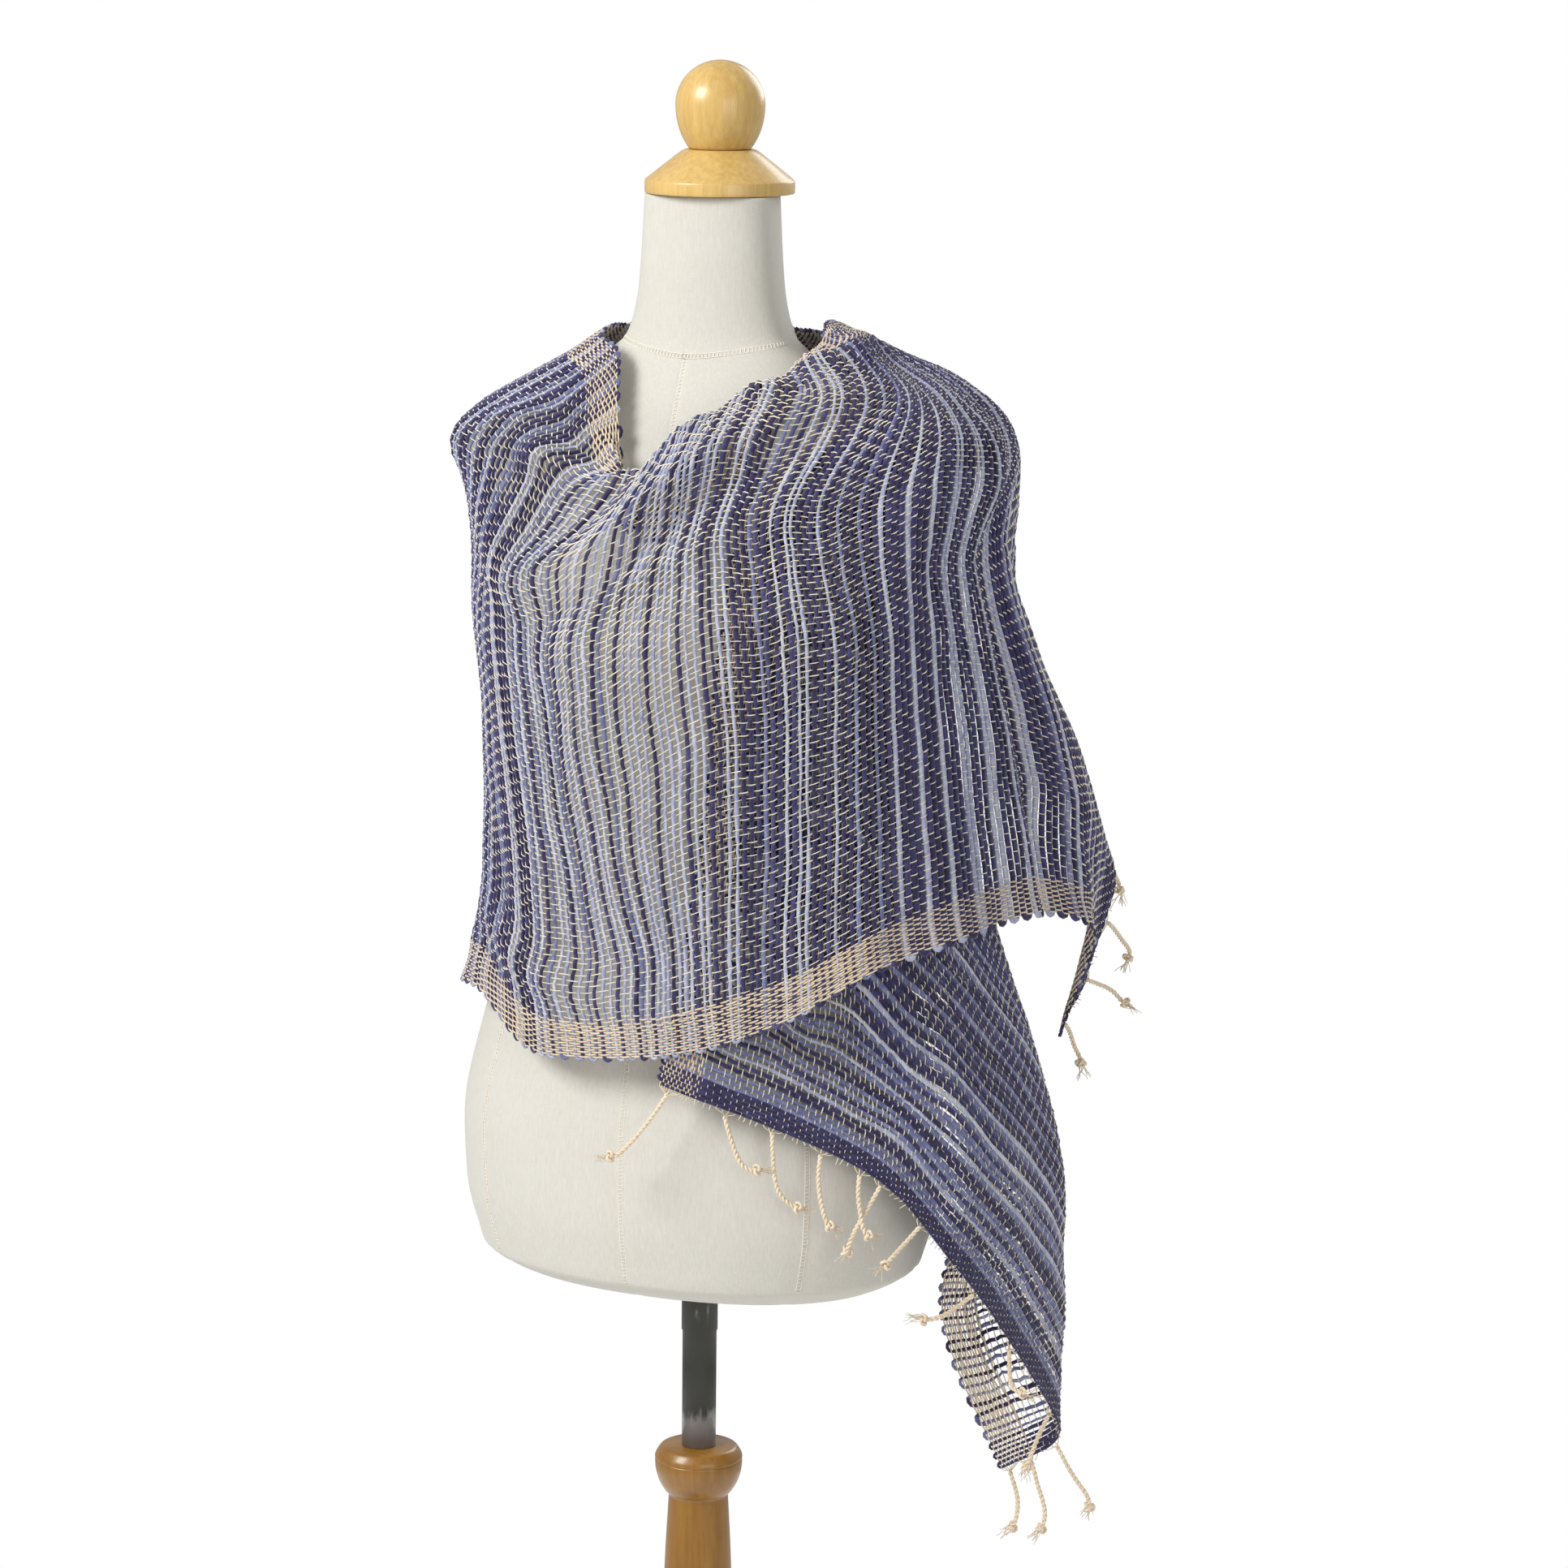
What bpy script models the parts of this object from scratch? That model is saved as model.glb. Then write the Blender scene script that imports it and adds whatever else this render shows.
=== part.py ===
"""A hand-woven shawl draped over a limbless dress form on a turned wooden stand.

Metres, +Z up. The origin lies on the floor under the middle of the stand's base,
the form faces -Y, and the wearer's left is +X. The shawl is one rectangle of cloth:
its first end hangs in front from the left shoulder, it crosses the back, wraps the
right shoulder and the chest, goes over the left shoulder again and falls behind it.
"""

import math

import bmesh
import bpy
import numpy as np

# Cloth, its wall, and the grid of points that it is made on
CLOTH_THICKNESS = 0.003
CLOTH_WIDTH = 0.48
LINE_SPACING = 0.065
SEAM_GAP = 0.0009
CLOTH_STEP = 0.0190
CLOTH_ROWS = 24

# Where that grid is closer: over the rolled top edge, and at the tail's folded edge
ROLL_DENSITY = 3.5
ROLL_PLACE = 0.02
ROLL_SPREAD = 0.04
FULL_ROLL = 0.02
FOLD_DENSITY = 1.6
FOLD_PLACE = 0.9
FOLD_SPREAD = 0.07
FOLD_FADE_LINES = 1.5
TAIL_END_LINE = 4.0

# Stand, turned in wood but for the steel pole
GAP = 0.0003
TURN_STEPS = 28
TURN_MERGE = 0.00005
NECK_Y = 0.018
CAP_RIM = 1.5305
CAP_TOP = 1.5600
CAP_RADIUS = 0.051
CAP_TOP_RADIUS = 0.022
CAP_BAND = 0.008
CAP_ROUND = 0.003
CAP_BEVEL = 0.001
KNOB_TOP = 1.6200
KNOB_RADIUS = 0.0305
KNOB_CROWN_RADIUS = 0.0055
KNOB_FOOT_RADIUS = 0.021
KNOB_POINTS = 15
FORM_UNDERSIDE = 0.784
POLE_RADIUS = 0.0120
POLE_COLLAR_RADIUS = 0.0127
COLLAR_FOOT = 0.752
CUP_TOP = 0.668
BASE_TOP = 0.052

# Turned profiles: radius and height down the outer side
POST_PROFILE = (
    (0.0260, 0.668), (0.0290, 0.664), (0.0302, 0.655), (0.0304, 0.648), (0.0296, 0.645),
    (0.0304, 0.642), (0.0290, 0.634), (0.0250, 0.626), (0.0222, 0.622), (0.0216, 0.614),
    (0.0226, 0.600), (0.0242, 0.570), (0.0250, 0.500), (0.0250, 0.300), (0.0244, 0.160),
    (0.0236, 0.120), (0.0262, 0.108), (0.0340, 0.098), (0.0366, 0.086), (0.0340, 0.074),
    (0.0300, 0.068), (0.0330, 0.0523),
)
BASE_PROFILE = (
    (0.1200, 0.0520), (0.1440, 0.0480), (0.1600, 0.0420), (0.1650, 0.0370), (0.1720, 0.0350),
    (0.1880, 0.0290), (0.1980, 0.0200), (0.2000, 0.0120), (0.1985, 0.0030), (0.1955, 0.0000),
)

# Fringe of twisted cords, rooted in a strip just off the cloth's short edge
FRINGE_GAP = 0.0008
FRINGE_INNER_LINE = 0.2
STRIP_WIDTH = 0.0045
STRIP_THICKNESS = 0.0030
STRIP_ROWS = 3
ROOT_DEPTH = 0.62
ROOT_STIFFNESS = 1.2
TASSEL_RADIUS = 0.0017
CAP_MERGE = 0.00001

# A tassel's width along it, from root to tip, with the knot's bulge near the end
TASSEL_WIDTHS = (
    (0.00, 1.0), (0.30, 1.0), (0.70, 0.95), (0.79, 1.9), (0.87, 0.9), (1.00, 0.5),
)

# Each tassel: its place across the end, and where its tip lies from its root.
TASSEL_COLUMNS = ("across", "x", "y", "z")
TAIL_TASSELS = (
    (0.02, -0.039, -0.018, -0.042),
    (0.13, 0.029, 0.010, -0.035),
    (0.22, 0.026, 0.008, -0.050),
    (0.32, 0.014, 0.002, -0.048),
    (0.40, 0.013, 0.002, -0.041),
    (0.44, -0.018, -0.012, -0.046),
    (0.53, -0.014, -0.026, -0.022),
    (0.66, -0.030, -0.022, -0.012),
    (0.76, 0.022, -0.012, -0.026),
    (0.86, -0.010, -0.014, -0.036),
    (0.92, 0.020, 0.010, -0.045),
    (0.96, 0.003, 0.002, -0.050),
    (0.99, -0.003, -0.002, -0.042),
)
END_TASSELS = (
    (0.02, -0.016, 0.030, -0.036),
    (0.11, -0.014, 0.030, -0.038),
    (0.20, -0.012, 0.032, -0.036),
    (0.29, -0.010, 0.030, -0.040),
    (0.38, -0.008, 0.032, -0.036),
    (0.47, -0.008, 0.030, -0.040),
    (0.56, -0.006, 0.032, -0.036),
    (0.65, -0.004, 0.030, -0.038),
    (0.74, -0.002, 0.030, -0.036),
    (0.83, 0.002, 0.030, -0.036),
    (0.91, 0.022, 0.026, -0.024),
    (0.98, 0.006, 0.020, -0.040),
)

# Angles round the wearer are degrees: 0 at the front, 90 at the left side, 180 behind.
FRONT_DEG = -90.0

# The dress form's level sections: half its width, and its depth before and behind the
# stand's axis. A squareness of 2 is an ellipse.
SECTION_COLUMNS = ("height", "half_width", "front", "back", "squareness")
FORM_SECTIONS = (
    (0.800, 0.160, 0.116, 0.118, 2.1),
    (0.840, 0.171, 0.123, 0.126, 2.1),
    (0.885, 0.173, 0.125, 0.128, 2.1),
    (0.960, 0.158, 0.114, 0.118, 2.1),
    (1.050, 0.128, 0.094, 0.090, 2.1),
    (1.110, 0.132, 0.100, 0.090, 2.1),
    (1.180, 0.142, 0.116, 0.096, 2.1),
    (1.235, 0.148, 0.124, 0.104, 2.1),
    (1.290, 0.151, 0.106, 0.108, 2.1),
    (1.335, 0.168, 0.080, 0.102, 2.2),
    (1.354, 0.181, 0.064, 0.096, 2.3),
    (1.370, 0.162, 0.056, 0.090, 2.3),
    (1.393, 0.124, 0.047, 0.082, 2.2),
    (1.418, 0.080, 0.036, 0.072, 2.0),
    (1.436, 0.058, 0.030, 0.066, 2.0),
    (1.470, 0.050, 0.027, 0.062, 2.0),
    (1.530, 0.046, 0.026, 0.060, 2.0),
)
FORM_SIDES = 32
TORSO_STEP = 0.030

# The curve in under the hips: how far in and how far down from the lowest section
UNDER_CURVE = ((0.030, 0.016), (0.014, 0.011), (0.004, 0.005))

# The space that the hanging cloth lies round: the form, bridged at waist and neck.
HULL_SECTIONS = (
    (0.600, 0.182, 0.150, 0.150, 2.0),
    (0.800, 0.182, 0.148, 0.150, 2.0),
    (0.885, 0.180, 0.140, 0.142, 2.0),
    (0.960, 0.167, 0.132, 0.134, 2.0),
    (1.050, 0.150, 0.128, 0.120, 2.0),
    (1.110, 0.149, 0.129, 0.114, 2.0),
    (1.180, 0.153, 0.131, 0.112, 2.0),
    (1.235, 0.157, 0.133, 0.114, 2.0),
    (1.290, 0.161, 0.115, 0.118, 2.0),
    (1.335, 0.177, 0.089, 0.111, 2.1),
    (1.358, 0.188, 0.074, 0.104, 2.2),
    (1.378, 0.170, 0.065, 0.098, 2.2),
    (1.402, 0.131, 0.056, 0.090, 2.1),
    (1.428, 0.086, 0.046, 0.080, 2.0),
    (1.446, 0.066, 0.040, 0.075, 2.0),
    (1.500, 0.058, 0.037, 0.071, 2.0),
)

# Weft lines of the tail, from its free end up to the left shoulder. Each holds an
# angle, a height and a reach from the axis at each place across the cloth.
TAIL_ACROSS = (0.0, 0.20, 0.42, 0.62, 0.78, 0.90, 1.0)
TAIL_LINES = (
    {
        "angle": (15, 41, 64, 81, 96, 108, 111),
        "height": (0.949, 0.924, 0.888, 0.815, 0.742, 0.672, 0.640),
        "reach": (0.147, 0.160, 0.188, 0.214, 0.234, 0.254, 0.214),
    },
    {
        "angle": (21, 42, 63, 80, 97, 108, 113),
        "height": (1.036, 1.010, 0.972, 0.915, 0.845, 0.780, 0.752),
        "reach": (0.136, 0.146, 0.168, 0.206, 0.238, 0.256, 0.170),
    },
    {
        "angle": (27, 45, 65, 82, 97, 108, 114),
        "height": (1.140, 1.125, 1.090, 1.035, 0.965, 0.890, 0.850),
        "reach": (0.134, 0.142, 0.154, 0.178, 0.214, 0.248, 0.192),
    },
    {
        "angle": (30, 47, 66, 82, 94, 103, 110),
        "height": (1.235, 1.238, 1.225, 1.170, 1.095, 1.015, 0.950),
        "reach": (0.130, 0.134, 0.142, 0.158, 0.182, 0.212, 0.204),
    },
    {
        "angle": (40, 60, 78, 91, 99, 104, 109),
        "height": (1.330, 1.352, 1.350, 1.245, 1.150, 1.085, 1.025),
        "reach": (0.100, 0.120, 0.150, 0.160, 0.166, 0.178, 0.188),
    },
    {
        "angle": (74, 82, 90, 97, 102, 106, 110),
        "height": (1.398, 1.382, 1.356, 1.262, 1.172, 1.102, 1.038),
        "reach": (0.090, 0.120, 0.150, 0.162, 0.168, 0.176, 0.184),
    },
)

# Weft lines of the wrap, from the left shoulder round the back and over the chest.
# Each falls from its top edge, past the chest, to its hem. A tuck turns in at the top.
WRAP_COLUMNS = (
    "top_angle", "chest_angle", "hem_angle", "top_height", "chest_height", "hem_height",
    "top_lift", "mid_lift", "low_lift", "hem_lift", "tuck",
)
PLACE_ACROSS = (0.0, 0.3, 1.0)
LIFT_ACROSS = (0.0, 0.45, 0.8, 1.0)
WRAP_LINES = (
    (102, 100, 110, 1.432, 1.360, 1.055, 0.003, 0.006, 0.014, 0.022, 0.0),
    (126, 121, 126, 1.434, 1.345, 1.025, 0.003, 0.008, 0.018, 0.024, 0.0),
    (152, 146, 145, 1.434, 1.320, 0.992, 0.003, 0.010, 0.020, 0.026, 0.0),
    (178, 172, 168, 1.434, 1.308, 0.972, 0.003, 0.010, 0.020, 0.024, 0.0),
    (204, 199, 193, 1.434, 1.308, 0.962, 0.003, 0.010, 0.016, 0.020, 0.0),
    (228, 223, 218, 1.434, 1.322, 0.962, 0.003, 0.008, 0.012, 0.016, 0.0),
    (246, 244, 242, 1.434, 1.346, 0.968, 0.003, 0.006, 0.008, 0.010, 0.0),
    (264, 263, 266, 1.436, 1.362, 0.976, 0.003, 0.004, 0.005, 0.008, 0.0),
    (288, 279, 290, 1.432, 1.358, 0.984, 0.003, 0.004, 0.005, 0.010, 0.0),
    (312, 293, 310, 1.424, 1.352, 0.988, 0.003, 0.005, 0.006, 0.012, 0.0),
    (328, 309, 331, 1.393, 1.345, 0.962, 0.004, 0.006, 0.008, 0.012, 0.0),
    (343, 327, 349, 1.350, 1.328, 0.960, 0.010, 0.008, 0.010, 0.012, 0.012),
    (353, 348, 366, 1.338, 1.255, 0.964, 0.014, 0.012, 0.012, 0.014, 0.030),
    (369, 371, 381, 1.350, 1.240, 0.970, 0.018, 0.014, 0.014, 0.016, 0.050),
    (387, 390, 395, 1.370, 1.255, 0.980, 0.018, 0.016, 0.018, 0.020, 0.050),
    (408, 408, 409, 1.393, 1.275, 0.997, 0.016, 0.020, 0.028, 0.034, 0.045),
    (428, 425, 425, 1.412, 1.305, 1.025, 0.015, 0.024, 0.040, 0.048, 0.035),
    (444, 441, 442, 1.428, 1.348, 1.044, 0.016, 0.028, 0.056, 0.068, 0.024),
    (456, 455, 459, 1.434, 1.366, 1.046, 0.018, 0.028, 0.070, 0.084, 0.012),
    (468, 466, 472, 1.424, 1.345, 1.000, 0.018, 0.056, 0.122, 0.124, 0.0),
    (478, 477, 479, 1.392, 1.290, 0.925, 0.020, 0.078, 0.152, 0.092, 0.0),
)
TUCK_INWARD = 0.015
TUCK_CLEARANCE = 0.007
TAIL_CLEARANCE = 0.002
TAIL_OVER_FORM = 0.88

# Soft folds. One that runs along the cloth is placed across it, and the other way
# round: start, middle and end of its run, its place at each, its rise, and how far
# it spreads on either side.
FOLD_COLUMNS = (
    "runs", "start", "middle", "end", "place_a", "place_b", "place_c", "rise", "before", "after",
)
FOLDS = (
    ("along", 14.2, 18, 22.6, 0.36, 0.27, 0.15, 0.014, 0.034, 0.013),
    ("along", 14, 15.4, 17.4, 0.24, 0.15, 0.08, 0.009, 0.016, 0.016),
    ("along", 14.8, 16.2, 17.4, 0.12, 0.09, 0.07, -0.007, 0.010, 0.012),
    ("along", 17.5, 19.6, 22.5, 0.33, 0.37, 0.30, -0.005, 0.014, 0.024),
    ("along", 14.2, 16, 18.4, 0.90, 0.885, 0.92, 0.008, 0.018, 0.014),
    ("along", 22.3, 23.5, 24.6, 0.09, 0.06, 0.07, 0.009, 0.012, 0.014),
    ("across", 0.12, 0.60, 1.0, 23.95, 23.75, 23.85, 0.012, 0.020, 0.014),
    ("across", 0.20, 0.65, 1.0, 24.45, 24.35, 24.45, -0.018, 0.018, 0.022),
    ("across", 0.10, 0.55, 1.0, 21.2, 21.7, 21.9, 0.005, 0.020, 0.022),
    ("across", 0.30, 0.70, 1.0, 19.4, 19.7, 20, 0.004, 0.018, 0.020),
    ("across", 0.35, 0.70, 1.0, 16.4, 16.6, 16.7, 0.004, 0.018, 0.018),
    ("along", 7.2, 9.6, 12.4, 0.16, 0.30, 0.18, 0.010, 0.020, 0.018),
    ("along", 7.6, 9.8, 12, 0.40, 0.52, 0.42, 0.007, 0.024, 0.022),
    ("across", 0.45, 0.75, 1.0, 8.4, 8.2, 8.1, 0.010, 0.022, 0.022),
    ("across", 0.50, 0.80, 1.0, 10.6, 10.5, 10.3, 0.008, 0.024, 0.022),
    ("across", 0.55, 0.80, 1.0, 12.4, 12.3, 12.4, 0.006, 0.018, 0.018),
    ("across", 0.0, 0.18, 0.42, 0.9, 0.8, 0.7, 0.007, 0.022, 0.020),
    ("across", 0.10, 0.28, 0.50, 0.15, 0.15, 0.2, -0.006, 0.020, 0.022),
)

# The stretches of the cloth, by first and last weft line.
STRETCHES = (
    ("shawl_tail", 0.0, 6.0),
    ("shawl_back", 6.0, 12.0),
    ("shawl_side", 12.0, 16.0),
    ("shawl_front", 16.0, 23.0),
    ("shawl_over_shoulder", 23.0, 26.0),
)


def smooth(places, values, at):
    """A curve through rows of values that never swings past them."""
    places = np.asarray(places, float)
    values = np.asarray(values, float)
    at = np.clip(np.asarray(at, float), places[0], places[-1])
    steps = np.diff(places)
    shape = (-1,) + (1,) * (values.ndim - 1)
    rises = np.diff(values, axis=0) / steps.reshape(shape)
    slopes = np.zeros_like(values)
    before, after = rises[:-1], rises[1:]
    same = before * after > 0
    total = np.where(same, before + after, 1.0)
    slopes[1:-1] = np.where(same, 2 * before * after / total, 0.0)
    slopes[0], slopes[-1] = rises[0], rises[-1]
    index = np.clip(np.searchsorted(places, at, side="right") - 1, 0, len(steps) - 1)
    share_shape = at.shape + (1,) * (values.ndim - 1)
    step = steps[index].reshape(share_shape)
    share = (at - places[index]).reshape(share_shape) / step
    start, end = values[index], values[index + 1]
    out, into = slopes[index] * step, slopes[index + 1] * step
    cubed, squared = share ** 3, share ** 2
    return (
        start * (2 * cubed - 3 * squared + 1)
        + out * (cubed - 2 * squared + share)
        + end * (3 * squared - 2 * cubed)
        + into * (cubed - squared)
    )


def rounded(values, at):
    """A Catmull-Rom curve through evenly counted rows."""
    values = np.asarray(values, float)
    first = 2 * values[:1] - values[1:2]
    last = 2 * values[-1:] - values[-2:-1]
    padded = np.concatenate([first, values, last])
    at = np.clip(np.asarray(at, float), 0, len(values) - 1)
    index = np.clip(at.astype(int), 0, len(values) - 2)
    share = (at - index).reshape(at.shape + (1,) * (values.ndim - 1))
    a, b, c, d = (padded[index + k] for k in range(4))
    return 0.5 * (
        2 * b
        + (c - a) * share
        + (2 * a - 5 * b + 4 * c - d) * share ** 2
        + (3 * b - 3 * c + d - a) * share ** 3
    )


def section_at(sections, height):
    """The named sizes of a body's level section at a height."""
    table = np.asarray(sections, float)
    sizes = smooth(table[:, 0], table, height)
    return {name: sizes[..., k] for k, name in enumerate(SECTION_COLUMNS)}


def reach_of(sections, angle, height):
    """How far from the axis a body of level sections reaches."""
    section = section_at(sections, height)
    turn = np.radians(np.asarray(angle, float) + FRONT_DEG)
    depth = np.where(np.sin(turn) < 0, section["front"], section["back"])
    power = section["squareness"]
    sideways = np.abs(np.cos(turn)) / section["half_width"]
    lengthways = np.abs(np.sin(turn)) / depth
    return (sideways ** power + lengthways ** power) ** (-1 / power)


def placed(angle, height, reach):
    turn = np.radians(np.asarray(angle, float) + FRONT_DEG)
    height = np.broadcast_to(np.asarray(height, float), np.shape(turn))
    return np.stack([reach * np.cos(turn), reach * np.sin(turn), height], axis=-1)


def on_hull(angle, height, lift):
    """A point of the hull, lifted along the hull's own normal."""
    point = placed(angle, height, reach_of(HULL_SECTIONS, angle, height))
    turned = placed(angle + 1.0, height, reach_of(HULL_SECTIONS, angle + 1.0, height))
    raised = placed(angle, height + 0.004, reach_of(HULL_SECTIONS, angle, height + 0.004))
    normal = np.cross(turned - point, raised - point)
    normal /= np.linalg.norm(normal, axis=-1, keepdims=True)
    return point + normal * np.asarray(lift)[..., None]


def lengths_of(points):
    """The length run so far along rows of points."""
    steps = np.linalg.norm(np.diff(points, axis=0), axis=-1)
    return np.concatenate([[0.0], np.cumsum(steps)])


def spread(points, shares):
    """Points at shares of the length of a polyline."""
    run = lengths_of(points)
    return np.stack([np.interp(shares * run[-1], run, points[:, k]) for k in range(3)], axis=-1)


SHARES = np.linspace(0.0, 1.0, 47)


def tail_line(row):
    """A weft line of the tail, kept off the form but for the edge that folds back."""
    angle = smooth(TAIL_ACROSS, row["angle"], SHARES)
    height = smooth(TAIL_ACROSS, row["height"], SHARES)
    reach = smooth(TAIL_ACROSS, row["reach"], SHARES)
    nearest = reach_of(HULL_SECTIONS, angle, height) + TAIL_CLEARANCE
    reach = np.where(SHARES < TAIL_OVER_FORM, np.maximum(reach, nearest), reach)
    return placed(angle, height, reach)


def tucked_in(edge, angle, tuck):
    """The part that turns in over the top edge and lies down against the neck."""
    edge_reach = float(np.hypot(edge[0], edge[1]))
    depths = np.linspace(tuck, 0.0, 9)
    angles = np.full(9, float(angle))
    heights = edge[2] - depths
    against_form = reach_of(FORM_SECTIONS, angles, heights) + TUCK_CLEARANCE
    inner = placed(angles, heights, np.maximum(against_form, edge_reach - TUCK_INWARD))
    top = (inner[-1] + edge) / 2
    out = (edge - inner[-1]) / 2
    bend = np.linspace(math.pi, 0.0, 9)[1:-1, None]
    over = top + out * np.cos(bend) + np.array((0.0, 0.0, np.linalg.norm(out))) * np.sin(bend)
    return np.concatenate([inner, over])


def wrap_line(row):
    """A weft line of the wrap, from its top edge or tuck down to its hem."""
    part = dict(zip(WRAP_COLUMNS, row))
    share = np.linspace(0.0, 1.0, 161)
    places = ("top", "chest", "hem")
    angle = smooth(PLACE_ACROSS, [part[f"{place}_angle"] for place in places], share)
    height = smooth(PLACE_ACROSS, [part[f"{place}_height"] for place in places], share)
    lifts = [part[f"{place}_lift"] for place in ("top", "mid", "low", "hem")]
    lift = smooth(LIFT_ACROSS, lifts, share)
    path = on_hull(angle, height, lift)
    if part["tuck"] > 0:
        path = np.concatenate([tucked_in(path[0], part["top_angle"], part["tuck"]), path])
    return spread(path, SHARES)


LINES = np.stack([tail_line(row) for row in TAIL_LINES] + [wrap_line(row) for row in WRAP_LINES])
LAST_LINE = len(LINES) - 1


def bare_cloth(line, across):
    """Points of the cloth before its soft folds, for arrays of the same shape."""
    by_line = rounded(LINES, line)
    where = across * (len(SHARES) - 1)
    index = np.clip(where.astype(int), 0, len(SHARES) - 2)
    share = (where - index)[..., None]
    low = np.take_along_axis(by_line, index[..., None, None], axis=-2)[..., 0, :]
    high = np.take_along_axis(by_line, index[..., None, None] + 1, axis=-2)[..., 0, :]
    return low + (high - low) * share


def fold_rise(line, across):
    """How far the soft folds lift the cloth there."""
    total = np.zeros(line.shape)
    for row in FOLDS:
        fold = dict(zip(FOLD_COLUMNS, row))
        along = fold["runs"] == "along"
        run, side = (line, across) if along else (across, line)
        scale = CLOTH_WIDTH if along else LINE_SPACING
        stops = [fold[name] for name in ("start", "middle", "end")]
        place = smooth(stops, [fold[f"place_{name}"] for name in "abc"], run)
        off = (side - place) * scale
        spread_to = np.where(off < 0, fold["before"], fold["after"])
        share = np.clip((run - stops[0]) / (stops[2] - stops[0]), 0.0, 1.0)
        open_end = stops[2] >= 1.0 and not along
        fade = np.sin(np.pi * share * (0.5 if open_end else 1.0)) ** 1.2
        total += fold["rise"] * fade * np.exp(-((off / spread_to) ** 2))
    return total


def cloth_at(line, across):
    """Points of the cloth's middle surface with its folds."""
    line, across = np.broadcast_arrays(np.asarray(line, float), np.asarray(across, float))
    step = 0.02
    before, after = np.maximum(line - step, 0.0), np.minimum(line + step, LAST_LINE)
    above, below = np.maximum(across - step, 0.0), np.minimum(across + step, 1.0)
    along = bare_cloth(after, across) - bare_cloth(before, across)
    down = bare_cloth(line, below) - bare_cloth(line, above)
    outward = np.cross(down, along)
    outward /= np.linalg.norm(outward, axis=-1, keepdims=True)
    return bare_cloth(line, across) + outward * fold_rise(line, across)[..., None]


def material(name, colour, roughness, metallic=0.0):
    made = bpy.data.materials.new(name)
    made.use_nodes = True
    shader = made.node_tree.nodes["Principled BSDF"]
    shader.inputs["Base Color"].default_value = (*colour, 1.0)
    shader.inputs["Roughness"].default_value = roughness
    shader.inputs["Metallic"].default_value = metallic
    return made


def add_object(name, mesh, finish, collection):
    made = bpy.data.objects.new(name, mesh)
    mesh.materials.append(finish)
    collection.objects.link(made)
    return made


def grid_mesh(name, points):
    """A mesh of quads over a grid of points."""
    mesh = bpy.data.meshes.new(name)
    shape = bmesh.new()
    corners = [[shape.verts.new(point) for point in row] for row in points]
    for near, far in zip(corners, corners[1:]):
        for a, b, c, d in zip(near, far, far[1:], near[1:]):
            shape.faces.new((a, b, c, d))
    shape.to_mesh(mesh)
    shape.free()
    mesh.shade_smooth()
    return mesh


def places_across(line):
    """Places across the cloth, closer where it rolls over or folds back."""
    fine = np.linspace(0.0, 1.0, 401)
    tucks = np.array([0.0] * len(TAIL_LINES) + [row[-1] for row in WRAP_LINES])
    tuck = float(np.interp(line, np.arange(len(tucks)), tucks))
    rolled = min(tuck / FULL_ROLL, 1.0)
    hanging = float(np.clip((TAIL_END_LINE - line) / FOLD_FADE_LINES, 0.0, 1.0))
    from_roll = (fine - tuck / CLOTH_WIDTH - ROLL_PLACE) / ROLL_SPREAD
    from_fold = (fine - FOLD_PLACE) / FOLD_SPREAD
    weight = 1.0 + ROLL_DENSITY * rolled * np.exp(-(from_roll ** 2))
    weight += FOLD_DENSITY * hanging * np.exp(-(from_fold ** 2))
    run = np.concatenate([[0.0], np.cumsum((weight[1:] + weight[:-1]) / 2)])
    return np.interp(np.linspace(0.0, run[-1], CLOTH_ROWS), run, fine)


def stretch_points(first, last):
    """A grid of points over one stretch, drawn in a little at its seams."""
    sample = np.linspace(first, last, 101)
    middle = cloth_at(sample, np.full(101, 0.5))
    count = max(3, round(lengths_of(middle)[-1] / CLOTH_STEP) + 1)
    run = lengths_of(middle)
    lines = np.interp(np.linspace(0.0, run[-1], count), run, sample)
    across = np.stack([places_across(line) for line in lines])
    points = cloth_at(lines[:, None], across)
    for end, inner, wanted in ((0, 1, first > 0), (-1, -2, last < LAST_LINE)):
        if wanted:
            inward = points[inner] - points[end]
            inward /= np.linalg.norm(inward, axis=-1, keepdims=True)
            points[end] += inward * SEAM_GAP / 2
    return points


def make_cloth(name, first, last, finish, collection):
    mesh = grid_mesh(name, stretch_points(first, last))
    cloth = add_object(name, mesh, finish, collection)
    wall = cloth.modifiers.new("Wall", "SOLIDIFY")
    wall.thickness = CLOTH_THICKNESS
    wall.offset = 0.0
    return cloth


def loft_mesh(name, rings):
    """A closed body through rings of points, with a flat cap at each end."""
    mesh = bpy.data.meshes.new(name)
    shape = bmesh.new()
    loops = [[shape.verts.new(point) for point in ring] for ring in rings]
    for low, high in zip(loops, loops[1:]):
        for k in range(len(low)):
            after = (k + 1) % len(low)
            shape.faces.new((low[k], low[after], high[after], high[k]))
    shape.faces.new(loops[0][::-1])
    shape.faces.new(loops[-1])
    bmesh.ops.recalc_face_normals(shape, faces=shape.faces)
    shape.to_mesh(mesh)
    shape.free()
    mesh.shade_smooth()
    return mesh


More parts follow.
